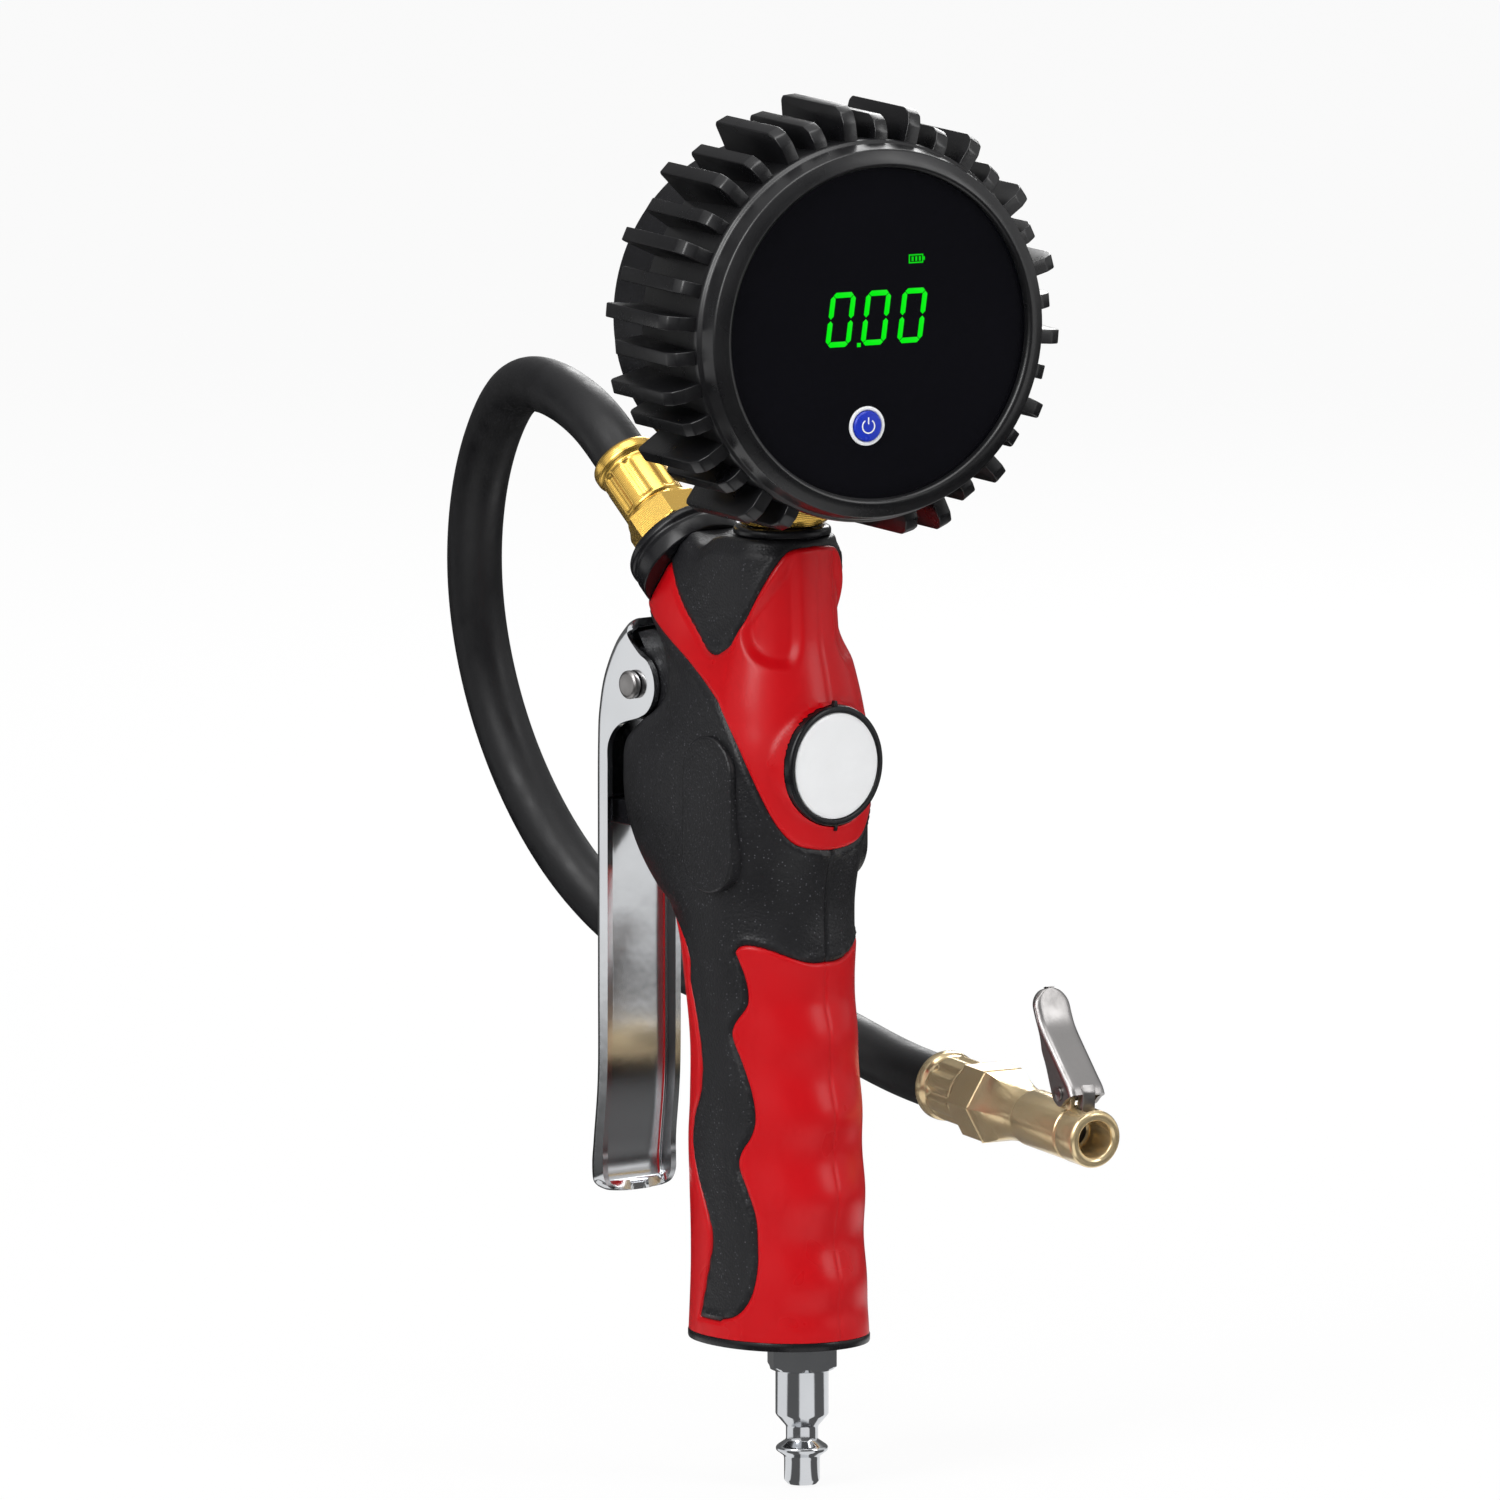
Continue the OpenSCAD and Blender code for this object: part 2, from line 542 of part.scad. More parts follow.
module upper_grip() {
    color(red_grip) difference() {
        sheet(upper_rows(grip_gap + grip_t), upper_rows(grip_gap));
        port_frame() translate([0, 0, -4.8 - slip]) cylinder(r = port_collar_r + slip, h = 60);
        translate([0, 0, badge_z]) rotate([90, 0, 0]) translate([0, 0, 2])
            cylinder(r = badge_r + slip, h = 30);
    }
}

// The lower grip wraps the handle. A wavy black strip on each side stays open above its bottom band.
LOWER_FRONT = [[12, 85], [16, 70], [21, 61], [26, 58], [35, 60], [42, 67], [47, 72], [50, 70], [54, 62],
    [58, 59], [64, 61], [70, 67], [76, 75], [79, 74], [83, 66], [87, 63], [91, 64], [95, 70]];
LOWER_BACK = [[12, 108], [20, 102], [30, 96], [37, 102], [44, 113], [50, 119], [56, 117], [62, 107],
    [68, 104], [75, 107], [82, 112], [87, 116], [92, 113], [97, 122], [102, 146], [106, 168]];
band_z = 11.8;
lower_top = 94;
back_top = 105;
lower_rows_n = 22;
front_n = 9;
strip_n = 4;
back_n = 8;
function lower_point(i, j, side, grow) =
    let (low = base_z + base_t, t = max(i - 1, 0) / (lower_rows_n - 1),
        zf = i == 0 ? low : band_z + t * (lower_top - band_z),
        zb = i == 0 ? low : band_z + t * (back_top - band_z),
        af = smooth(LOWER_FRONT, max(zf, 12)), ab = smooth(LOWER_BACK, max(zb, 12)),
        z = j <= front_n ? zf : j >= front_n + strip_n ? zb : (zf + zb) / 2,
        a = j <= front_n ? af * j / front_n : j >= front_n + strip_n
            ? ab + (180 - ab) * (j - front_n - strip_n) / back_n
            : af + (ab - af) * (j - front_n) / strip_n)
    skin(z, side * a, grow);
half_n = front_n + strip_n + back_n;
function lower_rows(grow) = [for (i = [0:lower_rows_n]) concat(
    [for (j = [0:half_n]) lower_point(i, j, 1, grow)],
    [for (j = [half_n - 1:-1:1]) lower_point(i, j, -1, grow)])];
function in_strip(j) = let (k = j < half_n ? j : 2 * half_n - 1 - j) k >= front_n && k < front_n + strip_n;
LOWER_OPEN = [for (i = [0:lower_rows_n - 1]) [for (j = [0:2 * half_n - 1]) i > 0 && in_strip(j)]];
module lower_grip() {
    color(red_grip) sheet(lower_rows(grip_gap + grip_t), lower_rows(grip_gap), LOWER_OPEN, true);
}

disc_t = 1.8;
module badge_ring() {
    color(black_plastic) translate([0, 0, badge_z]) rotate([90, 0, 0]) difference() {
        translate([0, 0, badge_y - badge_t]) cylinder(r = badge_r, h = badge_t);
        translate([0, 0, badge_y - disc_t]) cylinder(r = badge_r - badge_ring_w, h = 5);
        translate([0, 0, badge_y - badge_t - cut]) cylinder(r = 7, h = cut + 2);
    }
}

module badge_disc() {
    color("#dfe1e3") translate([0, 0, badge_z]) rotate([90, 0, 0]) rotate_extrude()
        polygon([[0, badge_y - disc_t],
        [badge_r - badge_ring_w - 0.1, badge_y - disc_t], [badge_r - badge_ring_w - 0.1, badge_y - 0.5],
        [badge_r - badge_ring_w - 0.6, badge_y - 0.2], [0, badge_y + 0.1]]);
}

module valve_end_plug() {
    color(brass) valve_frame() difference() {
        union() {
            translate([0, 0, chamber_front - 2.5]) cylinder(r = chamber_r - 1, h = 2.5);
            translate([0, 0, chamber_front - cut]) cylinder(r = chamber_bore_r, h = plug_in + cut);
        }
        hexagon(6, chamber_front - 2.5 - cut, chamber_front + 2);
        translate([0, 0, 2]) cylinder(r = 3.8, h = 10);
    }
}

module end_plug_oring() {
    color(black_rubber) valve_frame() translate([0, 0, chamber_front + seal_t / 2])
        oring(chamber_bore_r + 1, seal_t / 2);
}

module valve_sleeve() {
    color(brass) valve_frame() difference() {
        ring_of(chamber_bore_r, sleeve_bore_r, sleeve_front, chamber_back);
        for (z = [sleeve_front + 8, sleeve_front + 18]) for (a = [0:60:120])
            translate([0, 0, z]) rotate([90, 0, a]) cylinder(r = 1, h = 20, center = true, $fn = 24);
    }
}

module valve_spool() {
    color(brass) valve_frame() rotate_extrude() polygon([[0, spool_front], [2.8, spool_front],
        [2.8, spool_front + 2],
        [spool_r, spool_front + 2.5], [spool_r, spool_front + 5], [spool_neck, spool_front + 5],
        [spool_neck, spool_front + 6.6], [spool_r, spool_front + 6.6], [spool_r, spool_front + 9],
        [spool_neck, spool_front + 10], [spool_neck, spool_front + 22], [spool_r, spool_front + 23],
        [spool_r, spool_front + 25.4], [spool_neck, spool_front + 25.4], [spool_neck, spool_front + 27],
        [spool_r, spool_front + 27], [spool_r, spool_back], [0, spool_back]]);
}

module valve_seals() {
    color(black_rubber) valve_frame() for (z = [spool_front + 5.8, spool_front + 26.2])
        translate([0, 0, z]) oring((spool_r + spool_neck) / 2, (spool_r - spool_neck) / 2);
}

module valve_plunger() {
    color(black_plastic) union() {
        valve_frame() translate([0, 0, spool_back]) cylinder(r = plunger_r, h = 10);
        across(0, 0) translate([0, 0, -pad_w / 2]) linear_extrude(pad_w) intersection() {
            translate([-valve_z - pad_h / 2, 49]) square([pad_h, 20]);
            union() {
                translate([-valve_z, pad_tip - pad_round]) circle(pad_round);
                translate([-valve_z - pad_h / 2, 49]) square([pad_h, pad_tip - pad_round - 49]);
            }
        }
    }
}

// The spool's return spring between the end plug and the spool
spring_turns = 4;
spring_steps = 12;
module return_spring() {
    from = 2.35;
    to = spool_front - 0.35;
    color(steel) valve_frame() tube([for (i = [0:spring_turns * spring_steps])
        let (a = 360 * i / spring_steps) [2.4 * cos(a), 2.4 * sin(a),
        from + (to - from) * i / (spring_turns * spring_steps)]], 0.3, 6);
}

// The lever: a web bent along its outline, two flanges and two ears round the pivot
function inset(path, d) = [for (i = [0:len(path) - 1])
    let (a = path[max(i - 1, 0)], b = path[min(i + 1, len(path) - 1)], n = unit([a[1] - b[1], b[0] - a[0]]))
    path[i] + d * n];
function turned(path) = [for (i = [len(path) - 1:-1:0]) path[i]];
function swap(path) = [for (p = path) [-p[0], p[1]]];
module trigger_lever() {
    web_in = inset(LEVER_WEB, lever_t);
    flange_in = inset([for (i = [0:len(LEVER_WEB) - 3]) LEVER_WEB[i]], flange_d);
    color(chrome) difference() {
        union() {
            across(0, 0) translate([0, 0, -lever_w / 2]) linear_extrude(lever_w)
                polygon(swap(concat(LEVER_WEB, turned(web_in))));
            for (side = [-1, 1]) across(0, 0) translate([0, 0,
                side * (lever_w - lever_t) / 2 - lever_t / 2])
                linear_extrude(lever_t) union() {
                    polygon(swap(concat(LEVER_WEB, turned(flange_in))));
                    translate([-pivot_z, pivot_y]) circle(ear_r);
                    polygon(swap([[pivot_z + 7, pivot_y], [162.5, 49.6], [155, 55], [144, 58.5], [138, 58],
                        [pivot_z - 7, pivot_y]]));
                }
        }
        across(pivot_y, pivot_z) translate([0, 0, -lever_w])
            cylinder(r = pivot_r + pivot_gap, h = 2 * lever_w);
    }
}

// The pivot pin, headed on the side x < 0 and grooved for its clip on the other
pin_out = lever_w / 2 + free;
clip_t1 = 0.8;
module trigger_pivot_pin() {
    color(steel) across(pivot_y, pivot_z) rotate_extrude()
        polygon([[0, -pin_out - 1.5], [2.2, -pin_out - 1.5],
        [3.1, -pin_out - 1], [3.1, -pin_out], [pivot_r, -pin_out], [pivot_r, pin_out],
            [pivot_r - 0.5, pin_out],
        [pivot_r - 0.5, pin_out + clip_t1], [pivot_r, pin_out + clip_t1], [pivot_r, pin_out + 2],
            [0, pin_out + 2]]);
}

module pivot_clip() {
    color(steel) across(pivot_y, pivot_z) difference() {
        ring_of(4, pivot_r - 0.5, pin_out, pin_out + clip_t1);
        translate([0, -5, pin_out + clip_t1 / 2]) cube([2.4, 10, 2], center = true);
    }
}

module hose_port_collar() {
    color(black_plastic) port_frame() rotate_extrude()
        polygon([[port_tube_r + slip, -4.8], [port_collar_r, -4.8],
        [port_collar_r, -1], [port_collar_r - 0.5, 0], [port_collar_r, 0.8], [port_collar_r - 0.2, 2.4],
        [port_collar_r - 1.4, 3], [port_collar_r - 2.4, 2], [port_tube_r + slip, 1]]);
}

module gauge_port_collar() {
    color(black_plastic) translate([0, stem_y, 0]) rotate_extrude() polygon([[riser_r + slip, top_z - 2],
        [gauge_collar_r, top_z - 2], [gauge_collar_r, top_z + slip], [gauge_collar_r + 0.9, top_z + slip],
        [gauge_collar_r + 0.9, top_z + 1.6],
        [gauge_collar_r, top_z + 2.2], [riser_r + slip, top_z + 2.2]]);
}

// The gauge stem: thread into the riser, hexagon, and the neck up into the case
stem_neck_r = 5;
case_low = gauge_z - case_r;
stem_hex_z = top_z + 2.5;
module gauge_stem() {
    color(brass) translate([0, stem_y, 0]) difference() {
        union() {
            translate([0, 0, riser_top - thread_l + 1])
                cylinder(r = thread_r, h = stem_hex_z - riser_top + thread_l);
            hexagon(stem_hex, stem_hex_z, case_low - seal_t);
            translate([0, 0, stem_hex_z]) cylinder(r = stem_neck_r, h = case_low + 8 - stem_hex_z);
        }
        translate([0, 0, riser_top - thread_l]) cylinder(r = 2, h = 60);
    }
}

module gauge_stem_seal() {
    color(black_rubber) translate([0, stem_y, 0])
        ring_of(stem_neck_r + 2.4, stem_neck_r + slip, case_low - seal_t, case_low);
}

// The case is a cup round the gauge's axis, open at the front, flat where the stem's seal sits
door_w = 46;
door_h = 32;
door_y = 9;
door_ledge = 3;
board_post_x = 29;
module gauge_case() {
    color(black_plastic) difference() {
        union() {
            gauge_frame() translate([0, 0, -case_back])
                cylinder(r = case_r, h = case_back + case_front, $fn = 96);
            translate([0, stem_y, case_low]) cylinder(r = 7.5, h = 5);
        }
        gauge_frame() difference() {
            translate([0, 0, -case_back + case_t]) cylinder(r = case_r - case_t, h = 80, $fn = 96);
            translate([-door_w / 2 - door_ledge, door_y - door_h / 2 - door_ledge, -case_back])
                cube([door_w + 2 * door_ledge, door_h + 2 * door_ledge, case_t + 1.4]);
            for (x = [-board_post_x, board_post_x]) translate([x, 2, -case_back])
                cylinder(r = 2.5, h = case_back + board_at - 0.1, $fn = 24);
        }
        gauge_frame() translate([-door_w / 2, door_y - door_h / 2, -case_back - cut])
            cube([door_w, door_h, case_t + cut]);
        gauge_frame() translate([-door_w / 2 + 2, door_y - door_h / 2 + 2, -case_back - cut])
            cube([door_w - 4, door_h - 4, 8]);
        translate([0, stem_y, case_low - cut]) cylinder(r = stem_neck_r + slip, h = 12);
    }
}

// The rubber boot: a tapered ring with a raised lip over the lens, and fins all round but at the stem
fin_step = 10;
FIN_GAP = [-15, -5, 5];
module gauge_boot() {
    back = boot_back;
    front = boot_back + fin_l;
    color(black_rubber) gauge_frame() union() {
        rotate_extrude($fn = 96) polygon([[case_r + slip, back], [boot_r - 2.2, back],
            [boot_r, front - 1.2],
            [boot_r - 0.5, front], [boot_r - 2.4, front + 0.8], [case_r + 1, face_at + 2.2],
            [case_r - 1, face_at + 2.5], [case_r - 1.4, face_at + 0.3], [case_r + slip, face_at + slip]]);
        for (i = [0:35]) let (a = -175 + fin_step * i)
            if (len(search(a, FIN_GAP)) == 0)
                rotate(a - 90) fin(i % 2 == 0 ? fin_long_r : fin_short_r, back, front - 0.6);
    }
}
module fin(r, back, front) {
    translate([0, fin_t / 2, 0]) rotate([90, 0, 0]) linear_extrude(fin_t) polygon([[boot_r - 3.2, back],
        [r - 1, back], [r, back + 1], [r, front - 3.5], [r - 0.8, front - 1.4], [r - 3, front],
        [boot_r - 3.2, front]]);
}

module battery_door() {
    color(black_plastic) gauge_frame() difference() {
        translate([-door_w / 2 + slip, door_y - door_h / 2 + slip, -case_back])
            cube([door_w - 2 * slip, door_h - 2 * slip, case_t]);
        translate([0, door_y - door_h / 2 + 4, -case_back - cut]) cylinder(r = 1.7, h = 8, $fn = 24);
        translate([0, door_y - door_h / 2 + 4, -case_back - cut]) cylinder(r = 3, h = cut + 0.9, $fn = 32);
    }
}

module battery_door_screw() {
    color(steel) gauge_frame() translate([0, door_y - door_h / 2 + 4, 0]) union() {
        translate([0, 0, -case_back + 0.2]) cylinder(r = 2.7, h = 0.7, $fn = 32);
        translate([0, 0, -case_back + 0.2]) cylinder(r = 1.4, h = 3, $fn = 24);
    }
}

aaa_r = 5.25;
aaa_l = 44.5;
module batteries() {
    color("#7c8288") gauge_frame() for (y = [door_y - 4, door_y + 8])
        translate([-aaa_l / 2, y, -case_back + case_t + 1.6 + aaa_r])
        rotate([0, 90, 0]) union() {
            cylinder(r = aaa_r, h = aaa_l - 1);
            cylinder(r = 1.9, h = aaa_l, $fn = 24);
        }
}

module circuit_board() {
    color("#1f6b3a") gauge_frame() translate([0, 0, board_at])
        cylinder(r = case_r - case_t - slip, h = board_t, $fn = 96);
}

module pressure_sensor() {
    color(steel) translate([0, stem_y, case_low + 8]) union() {
        cylinder(r = 5.2, h = 5.5);
        translate([0, 0, 5]) cylinder(r = 4, h = 3.5);
    }
}

lcd_w = 48;
lcd_h = 34;
lcd_t = 5;
module lcd_display() {
    color("#16181c") gauge_frame() translate([-lcd_w / 2, -10, board_at + board_t])
        cube([lcd_w, lcd_h, lcd_t]);
}

module button_switch() {
    color(steel) gauge_frame() translate([-button_left - 3, -button_drop - 3, board_at + board_t]) union() {
        cube([6, 6, 3]);
        translate([3, 3, 0]) cylinder(r = 1.6, h = 4, $fn = 24);
    }
}

bezel_r = button_r + 1;
module gauge_lens() {
    color("#101116") gauge_frame() difference() {
        translate([0, 0, lens_at]) cylinder(r = case_r - 0.2, h = lens_t, $fn = 96);
        translate([-button_left, -button_drop, lens_at - cut])
            cylinder(r = bezel_r + 0.05, h = lens_t + 2 * cut);
    }
}

module button_bezel() {
    color("white") gauge_frame() translate([-button_left, -button_drop, 0])
        ring_of(bezel_r, button_r + 0.1, lens_at - 0.6, face_at + 0.3);
}

module power_button() {
    color("#1233c4") gauge_frame() translate([-button_left, -button_drop, 0]) union() {
        translate([0, 0, lens_at - 1.6]) cylinder(r = button_r, h = lens_t + 1.6 + button_travel + 0.2);
        translate([0, 0, board_at + board_t + 4 + button_travel + 0.1])
            cylinder(r = 1.2, h = lens_at - 1.6 - (board_at + board_t + 4 + button_travel) + 0.5, $fn = 24);
    }
}

// The nipple in the hose port: thread, hexagon, and the barb inside the ferrule
barb_r = 3.3;
module hose_port_fitting() {
    color(brass) port_frame() difference() {
        union() {
            translate([0, 0, port_in - thread_l + 1])
                cylinder(r = thread_r, h = thread_l - 1 - port_in + fitting_seat);
            intersection() {
                hexagon(fitting_hex, fitting_seat, fitting_seat + hex_l);
                rotate_extrude() polygon([[0, 0], [fitting_hex / 2, fitting_seat],
                    [fitting_hex / 2 + 1.5, fitting_seat + 1.2],
                    [fitting_hex / 2 + 1.5, fitting_seat + hex_l - 1.2],
                        [fitting_hex / 2, fitting_seat + hex_l],
                    [0, fitting_seat + hex_l]]);
            }
            translate([0, 0, fitting_seat + 1]) cylinder(r = barb_r, h = ferrule_end - fitting_seat - 3);
        }
        translate([0, 0, port_in - thread_l]) cylinder(r = 2, h = 60);
    }
}

// A crimped ferrule: a tube with a flared lip at the hose's side and pressed flutes
flutes = 8;
module ferrule(l) {
    difference() {
        rotate_extrude() polygon([[barb_r + 0.05, 0], [ferrule_r - 0.6, 0], [ferrule_r - 0.2, 0.8],
            [ferrule_r - 0.2, l - 4.6], [ferrule_r - 0.5, l - 3.6], [ferrule_r + 0.2, l - 2.2],
            [ferrule_r + 0.2, l - 0.8], [ferrule_r - 0.4, l], [barb_r + 0.05, l]]);
        for (i = [0:flutes - 1]) rotate((i + 0.5) * 360 / flutes) translate([ferrule_r + 1.5, 0, 1.2])
            cylinder(r = 2.2, h = l - 6.2);
    }
}
module gun_ferrule() {
    color(brass) port_frame() translate([0, 0, fitting_seat + hex_l]) ferrule(gun_ferrule_l);
}

module hose() {
    color(black_rubber) tube(ROUTE, hose_d / 2, 12);
}

module chuck_ferrule() {
    color(brass) chuck_frame() translate([0, 0, chuck_ferrule_l]) mirror([0, 0, 1])
        ferrule(chuck_ferrule_l);
}

// The chuck's body: hexagon, bell, barrel with a thicker mouth, two ears for the lever and a slot for
// its claw
module chuck_body() {
    color(brass) chuck_frame() difference() {
        union() {
            translate([0, 0, 2]) cylinder(r = barb_r, h = chuck_ferrule_l);
            intersection() {
                hexagon(fitting_hex, chuck_ferrule_l, chuck_ferrule_l + bell_end);
                rotate_extrude() polygon([[0, chuck_ferrule_l], [fitting_hex / 2, chuck_ferrule_l],
                    [fitting_hex / 2 + 1.5, chuck_ferrule_l + 1.4],
                        [fitting_hex / 2 + 1.5, chuck_ferrule_l + 9],
                    [fitting_hex / 2 + 0.7, chuck_ferrule_l + hex_end],
                        [fitting_hex / 2 - 0.5, chuck_ferrule_l + hex_end + 4.6],
                    [barrel_r + 0.2, chuck_ferrule_l + bell_end - 5],
                        [barrel_r, chuck_ferrule_l + bell_end - 3],
                    [barrel_r, chuck_ferrule_l + bell_end], [0, chuck_ferrule_l + bell_end]]);
            }
            translate([0, 0, chuck_ferrule_l + bell_end - 1])
                cylinder(r = barrel_r, h = chuck_l - bell_end);
            translate([0, 0, mouth_at - 7]) cylinder(r = barrel_r + 0.45, h = 7);
            for (side = [-1, 1]) across(0, 0) translate([0, 0, side * (ear_w / 2 - 0.65) - 0.65])
                linear_extrude(1.3) union() {
                translate([-clip_at, clip_up]) circle(2.2);
                translate([-clip_at - 2.2, barrel_r - 2.4]) square([4.4, clip_up - barrel_r + 2.4]);
            }
        }
        translate([0, 0, mouth_at - mouth_depth]) cylinder(r = mouth_r, h = mouth_depth + cut);
        translate([0, 0, mouth_at - mouth_depth - seal_l]) cylinder(r = seal_pocket_r, h = seal_l);
        translate([0, 0, -cut]) cylinder(r = 1.7, h = mouth_at);
        translate([-1.8 - free, mouth_r - 2, claw_at - 1 - free])
            cube([3.6 + 2 * free, 10, 2 + claw_swing + 2 * free]);
        across(clip_up, 0) translate([-clip_at, 0, -ear_w]) cylinder(r = clip_pin_r, h = 2 * ear_w);
    }
}

module chuck_seal() {
    color(black_rubber) chuck_frame() ring_of(seal_pocket_r - 0.05, 2, mouth_at - mouth_depth - seal_l,
        mouth_at - mouth_depth);
}

module chuck_depressor() {
    color(brass) chuck_frame() union() {
        translate([0, 0, mouth_at - mouth_depth - 12]) cylinder(r = 1.7, h = 8);
        translate([0, 0, mouth_at - mouth_depth - 5]) cylinder(r = 0.9, h = 5);
    }
}

// The clip lever: a bent plate with two flanges on the pin, and a claw that reaches through the barrel's
// slot
module chuck_lever() {
    run = clip_l;
    color(chrome) chuck_frame() difference() {
        union() {
            for (side = [-1, 1]) across(0, 0) translate([0, 0, side * (clip_w - clip_t) / 2 - clip_t / 2])
                linear_extrude(clip_t) union() {
                    translate([-clip_at, clip_up]) circle(2.6);
                    polygon(swap([clip_point(-2.5, -2.2), clip_point(-3, 3.4), clip_point(run * 0.62, 3.4),
                        clip_point(run * 0.55, 1.2), clip_point(2.2, -2.4)]));
                }
            across(0, 0) translate([0, 0, -clip_w / 2]) linear_extrude(clip_w) polygon(swap([
                clip_point(-3.4, 3.4), clip_point(-3.4, 3.4 + clip_t), clip_point(run * 0.7, 3.4 + clip_t),
                clip_point(run, 6.6 + clip_t), clip_point(run, 6.6), clip_point(run * 0.7, 3.4)]));
            across(0, 0) translate([0, 0, -1.7]) linear_extrude(3.4)
                polygon(swap([[claw_at - 1, clip_up + 2.2], [claw_at - 1, mouth_r + claw_short],
                [claw_at + 1, mouth_r + claw_short], [claw_at + 1, clip_up + 1]]));
        }
        across(clip_up, 0) translate([-clip_at, 0, -clip_w])
            cylinder(r = clip_pin_r + clip_gap, h = 2 * clip_w);
    }
}
// A point on the clip lever: distance behind the pin along the sloped lever, and height above that line
function clip_point(back, up) = [clip_at - back * cos(clip_slope) + up * sin(clip_slope),
    clip_up + back * sin(clip_slope) + up * cos(clip_slope)];

module chuck_lever_pin() {
    color(steel) chuck_frame() across(clip_up, 0) translate([-clip_at, 0, 0]) rotate_extrude() polygon([
        [0, -clip_w / 2 - 0.9], [clip_pin_r + 0.5, -clip_w / 2 - 0.6],
            [clip_pin_r + 0.5, -clip_w / 2 - 0.1],
        [clip_pin_r, -clip_w / 2 - 0.1], [clip_pin_r, clip_w / 2 + 0.1],
            [clip_pin_r + 0.5, clip_w / 2 + 0.1],
        [clip_pin_r + 0.5, clip_w / 2 + 0.6], [0, clip_w / 2 + 0.9]]);
}

// The lever's torsion spring, wound on the pin between the ears
module chuck_lever_spring() {
    turn = 1218;
    steps = 40;
    color(steel) chuck_frame() across(clip_up, 0) translate([-clip_at, 0, 0]) tube(concat([[7, -2.2, -1.2]],
        [for (i = [0:steps]) let (a = -90 - turn * i / steps) [1.6 * cos(a), 1.6 * sin(a),
            -1.2 + 2.4 * i / steps]],
        [[3.9, 7.6, 1.2]]), 0.25, 6, [0, 0, 1]);
}

inlet_plug();
inlet_seal();
inlet_strainer();
base_cap();
valve_body();
housing_left();
housing_right();
housing_screws();
upper_grip();
lower_grip();
badge_ring();
badge_disc();
valve_end_plug();
end_plug_oring();
valve_sleeve();
valve_spool();
valve_seals();
valve_plunger();
return_spring();
trigger_lever();
trigger_pivot_pin();
pivot_clip();
hose_port_collar();
gauge_port_collar();
gauge_stem();
gauge_stem_seal();
gauge_case();
gauge_boot();
battery_door();
battery_door_screw();
batteries();
circuit_board();
pressure_sensor();
lcd_display();
button_switch();
gauge_lens();
button_bezel();
power_button();
hose_port_fitting();
gun_ferrule();
hose();
chuck_ferrule();
chuck_body();
chuck_seal();
chuck_depressor();
chuck_lever();
chuck_lever_pin();
chuck_lever_spring();
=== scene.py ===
"""Tyre inflator with a digital gauge: the visual pieces, their finishes, the light and the camera."""
import logging
import math
from collections.abc import Iterable, Sequence
from dataclasses import dataclass
from enum import Enum
from typing import Any

import bpy
import numpy as np
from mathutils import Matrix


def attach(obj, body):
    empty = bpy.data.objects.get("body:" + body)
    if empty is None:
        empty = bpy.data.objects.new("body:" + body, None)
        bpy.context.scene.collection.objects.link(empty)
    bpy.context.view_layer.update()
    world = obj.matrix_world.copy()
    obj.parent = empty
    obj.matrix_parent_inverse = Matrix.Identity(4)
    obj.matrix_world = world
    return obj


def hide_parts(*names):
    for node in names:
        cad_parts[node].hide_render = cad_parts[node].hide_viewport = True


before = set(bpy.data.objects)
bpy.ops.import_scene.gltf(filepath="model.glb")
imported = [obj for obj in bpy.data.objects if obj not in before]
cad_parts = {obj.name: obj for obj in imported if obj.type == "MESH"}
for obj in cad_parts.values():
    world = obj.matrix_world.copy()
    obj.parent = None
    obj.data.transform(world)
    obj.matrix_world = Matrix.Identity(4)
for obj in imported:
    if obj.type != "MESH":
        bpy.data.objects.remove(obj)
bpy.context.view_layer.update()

LOG = logging.getLogger("inflator")
MM = 0.001
Points = np.ndarray
Piece = bpy.types.Object
Place = tuple[float, float, float]
Table = Sequence[Sequence[float]]


class Body(str, Enum):
    """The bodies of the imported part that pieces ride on."""

    ROOT = "inflator"
    LEVER = "squeeze_lever"
    VALVE = "valve_spindle"
    BUTTON = "button"
    CLIP = "clip"


# ---------------------------------------------------------------- curves and grids


def smooth(rows: Table, at: Points, column: int = 1) -> Points:
    """A smooth curve through one column of a table.

    Cubic Hermite pieces between the rows; the slope at a row is the difference of its two neighbours'
    values over the difference of their places, and one-sided at the ends.

    Args:
        rows: Table whose first column is the place on the curve, rising.
        at: Places at which the curve is wanted.
        column: Column that holds the values.

    Returns:
        The values, in the shape of at.
    """
    table = np.asarray(rows, float)
    x, y = table[:, 0], table[:, column]
    slope = np.empty_like(y)
    slope[1:-1] = (y[2:] - y[:-2]) / (x[2:] - x[:-2])
    slope[0] = (y[1] - y[0]) / (x[1] - x[0])
    slope[-1] = (y[-1] - y[-2]) / (x[-1] - x[-2])
    i = np.clip(np.searchsorted(x, at, side="right") - 1, 0, len(x) - 2)
    h = x[i + 1] - x[i]
    t = (at - x[i]) / h
    return (
        (2 * t**3 - 3 * t**2 + 1) * y[i]
        + (t**3 - 2 * t**2 + t) * h * slope[i]
        + (3 * t**2 - 2 * t**3) * y[i + 1]
        + (t**3 - t**2) * h * slope[i + 1]
    )


def slope_of(rows: Table, at: Points) -> Points:
    """Slope of a table's smooth curve, from its values a unit before and a unit after, kept within the table.

    Args:
        rows: The table.
        at: Places at which the slope is wanted.

    Returns:
        The slopes, in the shape of at.
    """
    low, high = rows[0][0], rows[-1][0]
    return (smooth(rows, np.minimum(at + 1, high)) - smooth(rows, np.clip(at - 1, low, high - 2))) / 2


def step(value: Points, low: float, high: float) -> Points:
    """A soft step: 0 below low, 1 above high, and 3t2 - 2t3 between."""
    t = np.clip((value - low) / (high - low), 0, 1)
    return t * t * (3 - 2 * t)


